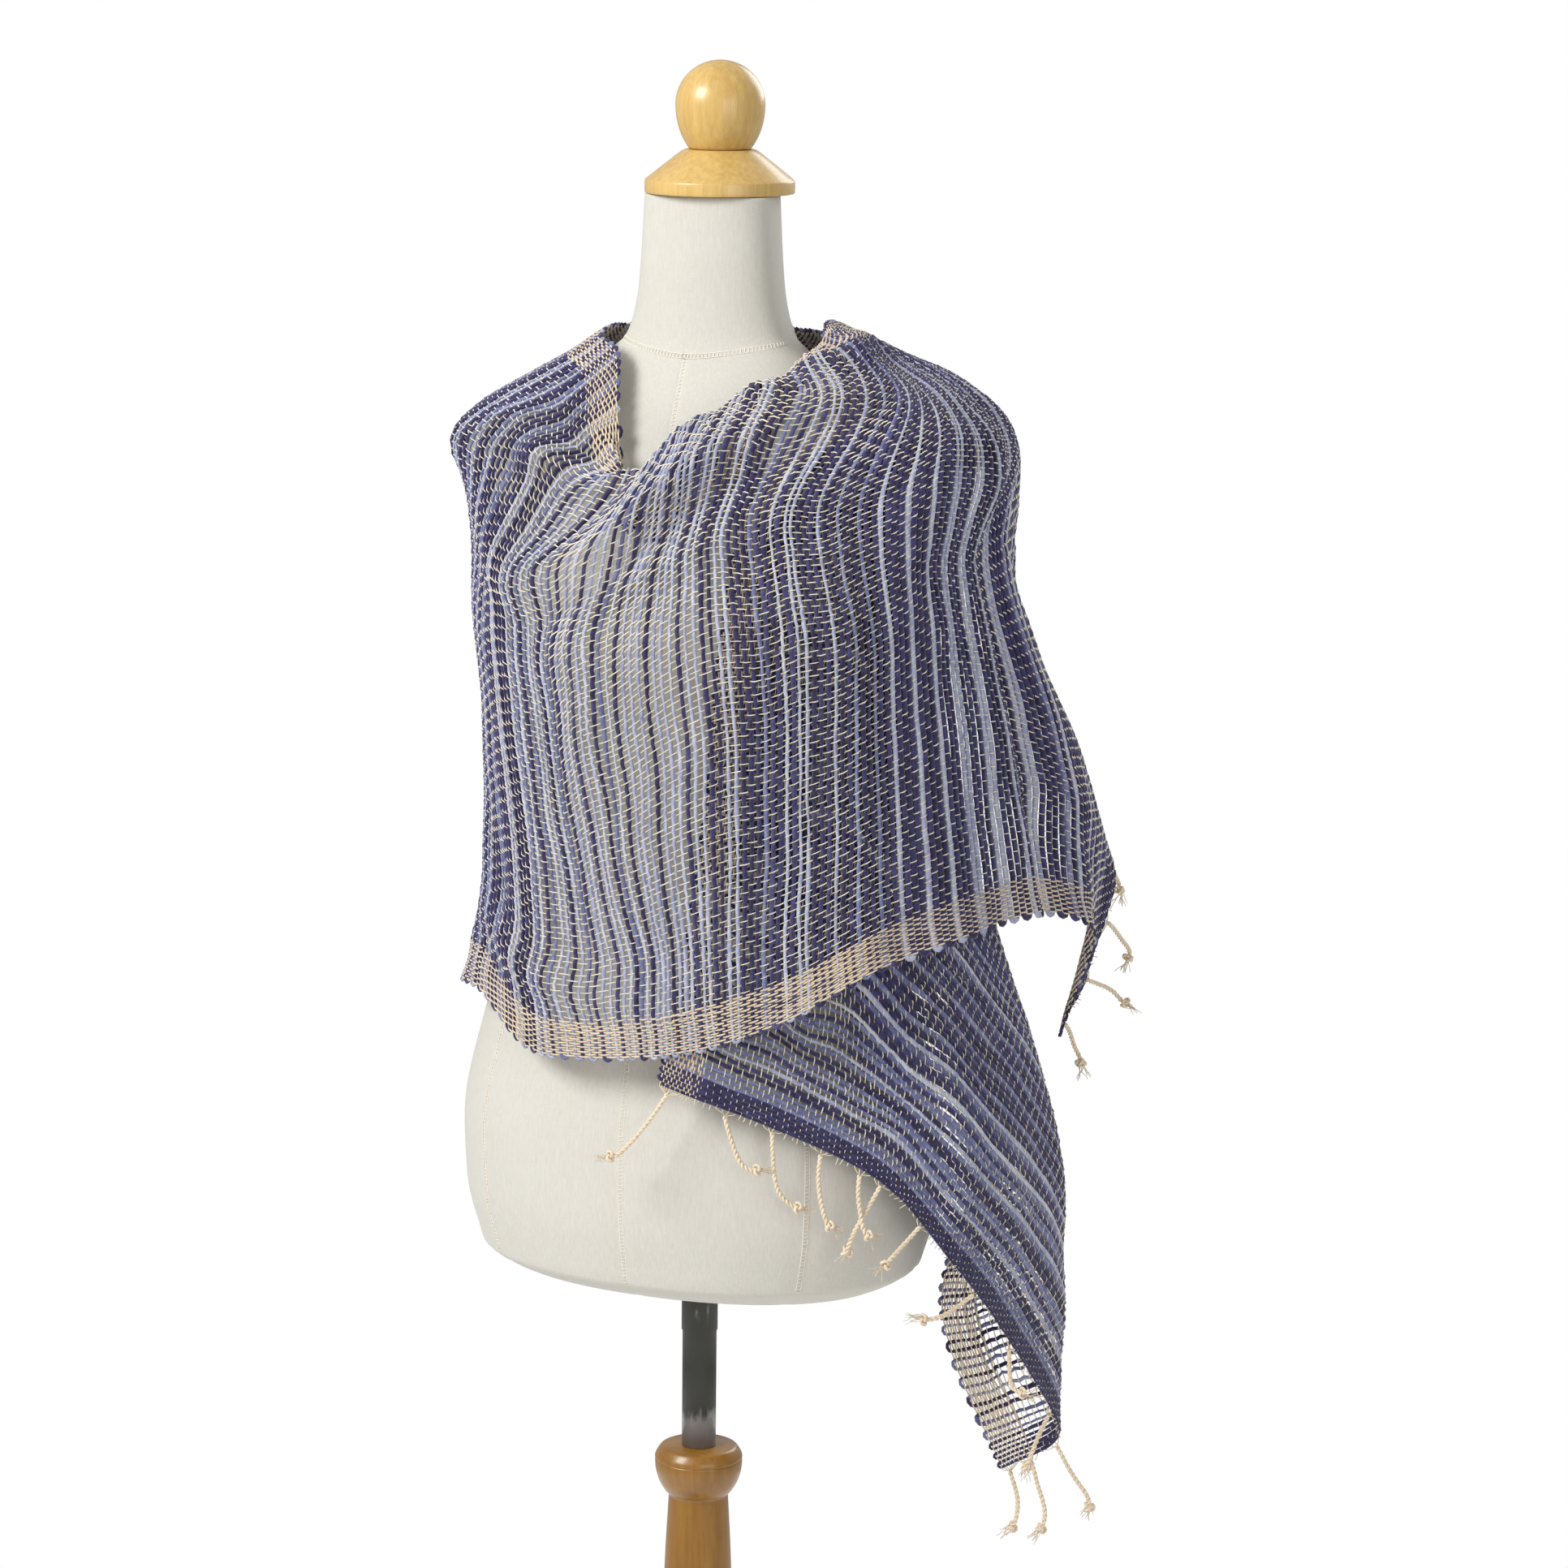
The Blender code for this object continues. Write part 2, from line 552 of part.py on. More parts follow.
def make_torso(finish, collection):
    """The padded body, rounded in under the hips."""
    table = np.asarray(FORM_SECTIONS)
    angles = np.arange(FORM_SIDES) * 360.0 / FORM_SIDES
    lowest = table[0, 0]
    rings = []
    for inset, drop in UNDER_CURVE:
        reach = reach_of(FORM_SECTIONS, angles, np.full(FORM_SIDES, lowest)) - inset
        rings.append(placed(angles, lowest - drop, reach))
    heights = []
    for low, high in zip(table[:-1, 0], table[1:, 0]):
        parts = max(1, round((high - low) / TORSO_STEP))
        heights += [low + (high - low) * k / parts for k in range(parts)]
    heights.append(table[-1, 0])
    for height in heights:
        reach = reach_of(FORM_SECTIONS, angles, np.full(FORM_SIDES, height))
        rings.append(placed(angles, height, reach))
    return add_object("form_torso", loft_mesh("form_torso", rings), finish, collection)


def turned(name, profile, centre_y, finish, collection):
    """A turned piece: the profile runs down its outer side from the axis to the axis."""
    mesh = bpy.data.meshes.new(name)
    shape = bmesh.new()
    points = [shape.verts.new((radius, 0.0, height)) for radius, height in profile]
    for a, b in zip(points, points[1:]):
        shape.edges.new((a, b))
    shape.to_mesh(mesh)
    shape.free()
    piece = add_object(name, mesh, finish, collection)
    piece.location = (0.0, centre_y, 0.0)
    screw = piece.modifiers.new("Turn", "SCREW")
    screw.steps = TURN_STEPS
    screw.render_steps = TURN_STEPS
    screw.use_merge_vertices = True
    screw.merge_threshold = TURN_MERGE
    screw.use_smooth_shade = True
    return piece


def arc_profile(radius, top, bottom, flat_top, flat_bottom, count):
    """A flattened ball's profile, from its flat top to its flat bottom."""
    centre, half = (top + bottom) / 2, (top - bottom) / 2
    start, end = math.acos(flat_top / radius), -math.acos(flat_bottom / radius)
    turns = np.linspace(start, end, count)
    scale = half / math.sin(start)
    low_scale = half / math.sin(-end)
    return [
        (radius * math.cos(turn), centre + (scale if turn > 0 else low_scale) * math.sin(turn))
        for turn in turns
    ]


def make_stand(wood, steel, collection):
    """The turned knob and cap over the neck, and the pole, cup and base under the form."""
    cap = (
        (0, CAP_TOP),
        (CAP_TOP_RADIUS, CAP_TOP),
        (CAP_RADIUS - CAP_ROUND, CAP_RIM + CAP_BAND + CAP_ROUND),
        (CAP_RADIUS, CAP_RIM + CAP_BAND),
        (CAP_RADIUS, CAP_RIM + CAP_BEVEL),
        (CAP_RADIUS - CAP_BEVEL, CAP_RIM),
        (0, CAP_RIM),
    )
    turned("neck_cap", cap, NECK_Y, wood, collection)

    knob_foot = CAP_TOP + GAP
    ball = arc_profile(
        KNOB_RADIUS, KNOB_TOP, knob_foot, KNOB_CROWN_RADIUS, KNOB_FOOT_RADIUS, KNOB_POINTS
    )
    turned("knob", ((0, KNOB_TOP), *ball, (0, knob_foot)), NECK_Y, wood, collection)

    pole_top, pole_foot = FORM_UNDERSIDE - GAP, CUP_TOP + GAP
    pole = (
        (0, pole_top),
        (POLE_COLLAR_RADIUS, pole_top),
        (POLE_COLLAR_RADIUS, COLLAR_FOOT),
        (POLE_RADIUS, COLLAR_FOOT),
        (POLE_RADIUS, pole_foot),
        (0, pole_foot),
    )
    turned("pole", pole, 0.0, steel, collection)
    turned("stand_post", [(0, CUP_TOP), *POST_PROFILE, (0, BASE_TOP + GAP)], 0.0, wood, collection)
    turned("stand_base", [(0, BASE_TOP), *BASE_PROFILE, (0, 0)], 0.0, wood, collection)


def strand(name, route, collection):
    """A slim four-sided cord through points that each hold a width, as a closed mesh."""
    tube = bpy.data.curves.new(name, "CURVE")
    tube.dimensions = "3D"
    tube.bevel_depth = TASSEL_RADIUS
    tube.bevel_resolution = 0
    tube.use_fill_caps = True
    line = tube.splines.new("POLY")
    line.points.add(len(route) - 1)
    for spot, (place, width) in zip(line.points, route):
        spot.co = (*place, 1.0)
        spot.radius = width
    curve = bpy.data.objects.new(name, tube)
    collection.objects.link(curve)
    bpy.context.view_layer.update()
    graph = bpy.context.evaluated_depsgraph_get()
    mesh = bpy.data.meshes.new_from_object(curve.evaluated_get(graph))
    bpy.data.objects.remove(curve)
    shape = bmesh.new()
    shape.from_mesh(mesh)
    bmesh.ops.remove_doubles(shape, verts=shape.verts, dist=CAP_MERGE)
    bmesh.ops.recalc_face_normals(shape, faces=shape.faces)
    shape.to_mesh(mesh)
    shape.free()
    cord = bpy.data.objects.new(name, mesh)
    cord.hide_render = True
    cord.display_type = "WIRE"
    collection.objects.link(cord)
    return cord


def make_fringe(name, line, inner_line, tassels, finish, collection):
    """Cord tassels whose roots are fused into a narrow strip along the cloth's short end."""
    across = places_across(line)
    edge = cloth_at(np.full(len(across), line), across)
    inside = cloth_at(np.full(len(across), inner_line), across)
    outward = edge - inside
    tangent = np.gradient(edge, axis=0)
    tangent /= np.linalg.norm(tangent, axis=-1, keepdims=True)
    outward -= tangent * (outward * tangent).sum(axis=-1, keepdims=True)
    outward /= np.linalg.norm(outward, axis=-1, keepdims=True)
    rows = [edge + outward * (FRINGE_GAP + away) for away in np.linspace(0.0, STRIP_WIDTH, STRIP_ROWS)]
    strip = add_object(name, grid_mesh(name, np.stack(rows)), finish, collection)
    wall = strip.modifiers.new("Wall", "SOLIDIFY")
    wall.thickness = STRIP_THICKNESS
    wall.offset = 0.0
    cords = bpy.data.collections.new(f"{name} cords")
    bpy.context.scene.collection.children.link(cords)
    for number, row in enumerate(tassels):
        tassel = dict(zip(TASSEL_COLUMNS, row))
        place = tassel["across"]
        edge_spot = np.array([np.interp(place, across, edge[:, k]) for k in range(3)])
        heading = np.array([np.interp(place, across, outward[:, k]) for k in range(3)])
        root = edge_spot + heading * (FRINGE_GAP + STRIP_WIDTH * ROOT_DEPTH)
        reach = np.array([tassel[axis] for axis in "xyz"])
        length = np.linalg.norm(reach)
        route = []
        for share, width in TASSEL_WIDTHS:
            start = heading * length * share * (1.0 - share) * ROOT_STIFFNESS
            route.append((root + start + reach * share, width))
        strand(f"{name} cord {number}", route, cords)
    join = strip.modifiers.new("Cords", "BOOLEAN")
    join.operation = "UNION"
    join.operand_type = "COLLECTION"
    join.collection = cords
    cords.hide_render = True
    return strip


def main():
    for old in list(bpy.data.objects):
        bpy.data.objects.remove(old)
    shawl = bpy.data.collections.new("Shawl on dress form")
    bpy.context.scene.collection.children.link(shawl)

    cotton = material("Indigo cotton", (0.17, 0.19, 0.36), 0.85)
    cord = material("Cream cord", (0.72, 0.66, 0.55), 0.85)
    cover = material("Form cover", (0.66, 0.65, 0.60), 0.9)
    wood = material("Honey wood", (0.62, 0.38, 0.17), 0.4)
    steel = material("Grey steel", (0.20, 0.22, 0.21), 0.45, 0.8)

    make_torso(cover, shawl)
    make_stand(wood, steel, shawl)
    for name, first, last in STRETCHES:
        make_cloth(name, first, last, cotton, shawl)
    end = float(LAST_LINE)
    make_fringe("fringe_tail", 0.0, FRINGE_INNER_LINE, TAIL_TASSELS, cord, shawl)
    make_fringe("fringe_end", end, end - FRINGE_INNER_LINE, END_TASSELS, cord, shawl)


main()
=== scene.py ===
# %% [markdown]
# A hand-woven shawl on a dress form, as a lesson in Blender
#
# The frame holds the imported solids: the stand, the padded form, and the shawl as plain
# walls. This script keeps their places and gives each one its real surface. The shawl is
# rebuilt yarn by yarn, because it is woven so openly that the form shows through it.

# %% Load the frame
import math

import bpy
import numpy as np
from mathutils import Matrix, Vector


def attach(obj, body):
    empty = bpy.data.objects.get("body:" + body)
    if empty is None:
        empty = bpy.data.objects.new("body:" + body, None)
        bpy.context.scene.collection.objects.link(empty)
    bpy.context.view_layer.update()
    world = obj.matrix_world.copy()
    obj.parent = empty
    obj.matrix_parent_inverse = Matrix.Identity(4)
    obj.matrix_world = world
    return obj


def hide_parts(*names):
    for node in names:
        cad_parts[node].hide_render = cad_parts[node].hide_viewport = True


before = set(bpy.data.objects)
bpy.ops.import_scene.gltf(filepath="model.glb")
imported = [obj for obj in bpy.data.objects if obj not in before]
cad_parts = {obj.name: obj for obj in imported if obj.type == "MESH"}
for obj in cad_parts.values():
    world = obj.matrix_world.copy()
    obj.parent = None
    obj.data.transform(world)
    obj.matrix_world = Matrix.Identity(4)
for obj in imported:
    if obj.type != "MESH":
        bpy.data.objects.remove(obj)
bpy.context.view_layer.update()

MM = 0.001
print("Nodes in the frame:", sorted(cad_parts))

# %% [markdown]
# The camera stands a little to the wearer's left of the front and looks slightly down.
# Its place is worked out from two angles, a distance and the spot that it looks at, so
# each of them can be changed by itself. The photograph leans by less than a degree.

# %% The camera
VIEW_AZIMUTH = math.radians(25.0)
VIEW_ELEVATION = math.radians(10.4)
VIEW_DISTANCE = 3.4
VIEW_TARGET = Vector((0.0507, 0.0222, 1.127))
FIELD_OF_VIEW = math.radians(18.05)
LEAN = math.radians(0.60)

level = math.cos(VIEW_ELEVATION)
towards_camera = Vector((
    math.sin(VIEW_AZIMUTH) * level,
    -math.cos(VIEW_AZIMUTH) * level,
    math.sin(VIEW_ELEVATION),
))
lens = bpy.data.cameras.new("Camera")
lens.sensor_fit = "HORIZONTAL"
lens.angle = FIELD_OF_VIEW
camera = bpy.data.objects.new("Camera", lens)
aim = towards_camera.to_track_quat("Z", "Y").to_matrix().to_4x4()
spot = Matrix.Translation(VIEW_TARGET + towards_camera * VIEW_DISTANCE)
camera.matrix_world = spot @ aim @ Matrix.Rotation(LEAN, 4, "Z")
bpy.context.scene.collection.objects.link(camera)
bpy.context.scene.camera = camera
print("Camera at", [round(value, 3) for value in camera.matrix_world.translation])

# %% [markdown]
# Product photographs of cloth are lit with big soft boxes, so that the yarns show but no
# hard shadow does. Three large area lights and a white world do the same here.

# %% Light and floor
def area_light(name, place, aim_at, size, power):
    """A square soft box that points at a spot."""
    box = bpy.data.lights.new(name, "AREA")
    box.size = size
    box.energy = power
    lamp = bpy.data.objects.new(name, box)
    turn = (Vector(place) - Vector(aim_at)).to_track_quat("Z", "Y").to_matrix().to_4x4()
    lamp.matrix_world = Matrix.Translation(place) @ turn
    bpy.context.scene.collection.objects.link(lamp)


CHEST = (0.0, 0.0, 1.15)
SOFT_BOXES = (
    ("Key", (-1.4, -2.3, 3.0), 1.3, 104.0),
    ("Fill", (2.4, -2.2, 1.6), 1.8, 24.0),
    ("Back", (0.5, 2.6, 2.4), 1.6, 30.0),
)
for name, place, size, power in SOFT_BOXES:
    area_light(name, place, CHEST, size, power)

WHITE = (1.0, 1.0, 1.0, 1.0)
BACKDROP = 1.0
AMBIENT = 0.50
world = bpy.data.worlds.new("World")
bpy.context.scene.world = world
world.use_nodes = True
sky = world.node_tree
sky.nodes["Background"].inputs["Color"].default_value = WHITE
sight = sky.nodes.new("ShaderNodeLightPath")
strength = sky.nodes.new("ShaderNodeMapRange")
strength.inputs["To Min"].default_value = AMBIENT
strength.inputs["To Max"].default_value = BACKDROP
sky.links.new(sight.outputs["Is Camera Ray"], strength.inputs["Value"])
sky.links.new(strength.outputs[0], sky.nodes["Background"].inputs["Strength"])
bpy.context.scene.view_settings.view_transform = "Standard"

FLOOR_RADIUS = 1.5
FLOOR_SIDES = 96
floor_mesh = bpy.data.meshes.new("floor")
turns = [2 * math.pi * side / FLOOR_SIDES for side in range(FLOOR_SIDES)]
rim = [(FLOOR_RADIUS * math.cos(turn), FLOOR_RADIUS * math.sin(turn), 0.0) for turn in turns]
floor_mesh.from_pydata(rim, [], [range(FLOOR_SIDES)])
floor = bpy.data.objects.new("floor", floor_mesh)
bpy.context.scene.collection.objects.link(floor)
print("Soft boxes:", len(SOFT_BOXES), "floor radius:", FLOOR_RADIUS)

# %% [markdown]
# Finishes are made from nodes. Wiring them one by one hides the idea, so a small class
# wraps a socket and lets ordinary Python arithmetic add the Math nodes. Every other node
# comes from one method, which sets the node's own settings before its sockets.

# %% Sockets that can be added and multiplied
class Value:
    """One output socket. Arithmetic on it adds Math nodes."""

    def __init__(self, finish, socket):
        self.finish = finish
        self.socket = socket

    def math(self, operation, first, second=None):
        inputs = {0: first} if second is None else {0: first, 1: second}
        return self.finish.node("ShaderNodeMath", {"operation": operation}, inputs)

    def __add__(self, other):
        return self.math("ADD", self, other)

    def __sub__(self, other):
        return self.math("SUBTRACT", self, other)

    def __rsub__(self, other):
        return self.math("SUBTRACT", other, self)

    def __mul__(self, other):
        return self.math("MULTIPLY", self, other)

    __radd__ = __add__
    __rmul__ = __mul__

    def clamped(self):
        """The value kept between 0 and 1."""
        return self.finish.node("ShaderNodeClamp", {}, {"Value": self})

    def above(self, edge, blur):
        """0 below the edge and 1 above it, with a soft step as wide as the blur."""
        settings = {"interpolation_type": "SMOOTHSTEP"}
        inputs = {"Value": self, "From Min": edge - blur / 2, "From Max": edge + blur / 2}
        return self.finish.node("ShaderNodeMapRange", settings, inputs)


class Finish:
    """A material and the tools that wire it."""

    def __init__(self, name, **constants):
        self.material = bpy.data.materials.new(name)
        self.material.use_nodes = True
        self.tree = self.material.node_tree
        self.shader = self.tree.nodes["Principled BSDF"]
        for socket, value in constants.items():
            self.shader.inputs[socket.replace("_", " ")].default_value = value

    def plug(self, socket, value):
        if isinstance(value, Value):
            self.tree.links.new(value.socket, socket)
        else:
            socket.default_value = value

    def node(self, kind, settings=None, inputs=None, output=0):
        """Any node: its settings first, then its sockets by name or number."""
        new = self.tree.nodes.new(kind)
        for name, value in (settings or {}).items():
            if name == "stops":
                self.set_stops(new.color_ramp, value)
            else:
                setattr(new, name, value)
        for name, value in (inputs or {}).items():
            self.plug(new.inputs[name], value)
        return Value(self, new.outputs[output])

    def set_stops(self, ramp, stops):
        while len(ramp.elements) < len(stops):
            ramp.elements.new(1.0)
        for element, (place, colour) in zip(ramp.elements, stops):
            element.position = place
            element.color = (*colour, 1.0)

    def blend(self, mask, first, second):
        """The first colour where the mask is 0, the second where it is 1."""
        ends = [value if isinstance(value, Value) else (*value, 1.0) for value in (first, second)]
        settings = {"data_type": "RGBA"}
        return self.node("ShaderNodeMix", settings, {0: mask, 6: ends[0], 7: ends[1]}, output=2)

    def noise(self, vector, scale, detail=2.0, roughness=0.5):
        inputs = {"Vector": vector, "Scale": scale, "Detail": detail, "Roughness": roughness}
        return self.node("ShaderNodeTexNoise", {}, inputs)

    def attribute(self, name, output=2):
        return self.node("ShaderNodeAttribute", {"attribute_name": name}, {}, output)

    def stretched(self, vector, scale):
        """The vector with each of its three parts scaled."""
        return self.node("ShaderNodeVectorMath", {"operation": "MULTIPLY"}, {0: vector, 1: scale})

    def bump(self, height, strength, distance):
        inputs = {"Height": height, "Strength": strength, "Distance": distance}
        return self.node("ShaderNodeBump", {}, inputs)

    def finish(self, colour, roughness=None, normal=None):
        self.plug(self.shader.inputs["Base Color"], colour)
        if roughness is not None:
            self.plug(self.shader.inputs["Roughness"], roughness)
        if normal is not None:
            self.plug(self.shader.inputs["Normal"], normal)
        return self.material


# %% [markdown]
# The floor is a pale, matt disc of paper. It glows a little, so that it meets the white
# backdrop with no grey edge, but not so much that it lights the stand from below.

# %% Floor finish
PAPER_GREY = (0.86, 0.86, 0.86)
PAPER_WHITE = (0.90, 0.90, 0.90)
PAPER_GLOW = 0.20
paper = Finish(
    "Studio paper", Roughness=0.9, Emission_Strength=PAPER_GLOW, Emission_Color=WHITE
)
paper_spots = paper.noise(paper.node("ShaderNodeNewGeometry"), 3.0)
floor_mesh.materials.append(paper.finish(paper.blend(paper_spots, PAPER_GREY, PAPER_WHITE)))
print("Floor finish:", paper.material.name)

# %% [markdown]
# Yarn is fibres twisted together. Each vertex of a yarn carries its place round the yarn
# and the length run so far, so a noise that is turned with the length makes fibres that
# wind round it. The dye is stored as one number for each weft: 0 is the darkest indigo
# and 1 the palest blue grey. Under the front panel and on part of the hanging end, the
# low numbers of the long dark runs are painted shade.

# %% Yarn finishes
INDIGO = (0.018, 0.014, 0.050)
BLUE_VIOLET = (0.056, 0.050, 0.150)
MID_BLUE = (0.170, 0.188, 0.350)
PALE_BLUE = (0.400, 0.425, 0.570)
PALE_GREY = (0.620, 0.630, 0.700)
CREAM = (0.920, 0.850, 0.700)
BORDER_CREAM = (0.760, 0.610, 0.430)
CREAM_SHADE = (0.720, 0.610, 0.440)
CORD_CREAM = (0.840, 0.720, 0.550)
CORD_SHADE = (0.600, 0.460, 0.290)
TWIST_PER_METRE = 900.0
FIBRE_STRETCH = (1.0, 1.0, 80.0)
BLOTCH_STRETCH = (0.4, 0.4, 90.0)
BLOTCH_SHARE = 0.50
FIBRE_SHARE = 0.60


def yarn_fibres(finish):
    """A noise drawn out along the fibres of a twisted yarn."""
    place = finish.attribute("yarn", output=1)
    run = finish.node("ShaderNodeSeparateXYZ", {}, {0: place}, output=2)
    wound = {"Vector": place, "Angle": run * TWIST_PER_METRE}
    turned = finish.node("ShaderNodeVectorRotate", {"rotation_type": "Z_AXIS"}, wound)
    return finish.noise(finish.stretched(turned, FIBRE_STRETCH), 1.8, 3.0, 0.65)


def weft_finish():
    """Dyed yarn. Its colour runs from indigo to pale grey with its dye, and is mottled."""
    yarn = Finish(
        "Dyed weft yarn", Roughness=0.92, Sheen_Weight=0.25, Sheen_Roughness=0.5,
        Specular_IOR_Level=0.15,
    )
    fibres = yarn_fibres(yarn)
    drawn_out = yarn.stretched(yarn.attribute("yarn", output=1), BLOTCH_STRETCH)
    blotches = yarn.noise(drawn_out, 1.0, 2.0)
    mottling = (blotches - 0.5) * BLOTCH_SHARE
    dye = yarn.attribute("dye") + mottling + (fibres - 0.5) * FIBRE_SHARE
    stops = (
        (0.00, INDIGO), (0.22, BLUE_VIOLET), (0.52, MID_BLUE), (0.80, PALE_BLUE),
        (1.00, PALE_GREY),
    )
    colour = yarn.node("ShaderNodeValToRGB", {"stops": stops}, {"Fac": dye.clamped()})
    return yarn.finish(colour, normal=yarn.bump(fibres, 1.0, 0.8 * MM))


def cream_finish(name, light=CREAM, shade=CREAM_SHADE, border=BORDER_CREAM):
    """Undyed yarn. Its dye is 1 in the middle of the cloth and 0 in the darker border."""
    yarn = Finish(name, Roughness=0.85, Sheen_Weight=0.2)
    fibres = yarn_fibres(yarn)
    undyed = yarn.blend(yarn.attribute("dye"), border, light)
    colour = yarn.blend(fibres.above(0.45, 0.5), shade, undyed)
    return yarn.finish(colour, normal=yarn.bump(fibres, 0.6, 0.3 * MM))


weft_material = weft_finish()
warp_material = cream_finish("Cream warp yarn")
cord_material = cream_finish("Cream twisted cord", CORD_CREAM, CORD_SHADE, CORD_CREAM)
print("Yarn finishes:", weft_material.name, warp_material.name, cord_material.name)

# %% [markdown]
# The shawl hangs where its solids hang. Its surface is worked out from the same few
# tables: level sections of the form, the space that the cloth lies round, and weft lines
# that run from the top edge to the hem. Angles go round the wearer in degrees: 0 at the
# front, 90 at the left side, 180 behind.

# %% Sections of the form
FRONT_DEG = -90.0
SECTION_COLUMNS = ("height", "half_width", "front", "back", "squareness")
FORM_SECTIONS = (
    (0.800, 0.160, 0.116, 0.118, 2.1),
    (0.840, 0.171, 0.123, 0.126, 2.1),
    (0.885, 0.173, 0.125, 0.128, 2.1),
    (0.960, 0.158, 0.114, 0.118, 2.1),
    (1.050, 0.128, 0.094, 0.090, 2.1),
    (1.110, 0.132, 0.100, 0.090, 2.1),
    (1.180, 0.142, 0.116, 0.096, 2.1),
    (1.235, 0.148, 0.124, 0.104, 2.1),
    (1.290, 0.151, 0.106, 0.108, 2.1),
    (1.335, 0.168, 0.080, 0.102, 2.2),
    (1.354, 0.181, 0.064, 0.096, 2.3),
    (1.370, 0.162, 0.056, 0.090, 2.3),
    (1.393, 0.124, 0.047, 0.082, 2.2),
    (1.418, 0.080, 0.036, 0.072, 2.0),
    (1.436, 0.058, 0.030, 0.066, 2.0),
    (1.470, 0.050, 0.027, 0.062, 2.0),
    (1.530, 0.046, 0.026, 0.060, 2.0),
)
HULL_SECTIONS = (
    (0.600, 0.182, 0.150, 0.150, 2.0),
    (0.800, 0.182, 0.148, 0.150, 2.0),
    (0.885, 0.180, 0.140, 0.142, 2.0),
    (0.960, 0.167, 0.132, 0.134, 2.0),
    (1.050, 0.150, 0.128, 0.120, 2.0),
    (1.110, 0.149, 0.129, 0.114, 2.0),
    (1.180, 0.153, 0.131, 0.112, 2.0),
    (1.235, 0.157, 0.133, 0.114, 2.0),
    (1.290, 0.161, 0.115, 0.118, 2.0),
    (1.335, 0.177, 0.089, 0.111, 2.1),
    (1.358, 0.188, 0.074, 0.104, 2.2),
    (1.378, 0.170, 0.065, 0.098, 2.2),
    (1.402, 0.131, 0.056, 0.090, 2.1),
    (1.428, 0.086, 0.046, 0.080, 2.0),
    (1.446, 0.066, 0.040, 0.075, 2.0),
    (1.500, 0.058, 0.037, 0.071, 2.0),
)

# %% Weft lines of the hanging end, from its free end up to the left shoulder
TAIL_ACROSS = (0.0, 0.20, 0.42, 0.62, 0.78, 0.90, 1.0)
TAIL_COLUMNS = ("angle", "height", "reach")
TAIL_LINES = (
    (
        (15, 41, 64, 81, 96, 108, 111),
        (0.949, 0.924, 0.888, 0.815, 0.742, 0.672, 0.640),
        (0.147, 0.160, 0.188, 0.214, 0.234, 0.254, 0.214),
    ),
    (
        (21, 42, 63, 80, 97, 108, 113),
        (1.036, 1.010, 0.972, 0.915, 0.845, 0.780, 0.752),
        (0.136, 0.146, 0.168, 0.206, 0.238, 0.256, 0.170),
    ),
    (
        (27, 45, 65, 82, 97, 108, 114),
        (1.140, 1.125, 1.090, 1.035, 0.965, 0.890, 0.850),
        (0.134, 0.142, 0.154, 0.178, 0.214, 0.248, 0.192),
    ),
    (
        (30, 47, 66, 82, 94, 103, 110),
        (1.235, 1.238, 1.225, 1.170, 1.095, 1.015, 0.950),
        (0.130, 0.134, 0.142, 0.158, 0.182, 0.212, 0.204),
    ),
    (
        (40, 60, 78, 91, 99, 104, 109),
        (1.330, 1.352, 1.350, 1.245, 1.150, 1.085, 1.025),
        (0.100, 0.120, 0.150, 0.160, 0.166, 0.178, 0.188),
    ),
    (
        (74, 82, 90, 97, 102, 106, 110),
        (1.398, 1.382, 1.356, 1.262, 1.172, 1.102, 1.038),
        (0.090, 0.120, 0.150, 0.162, 0.168, 0.176, 0.184),
    ),
)

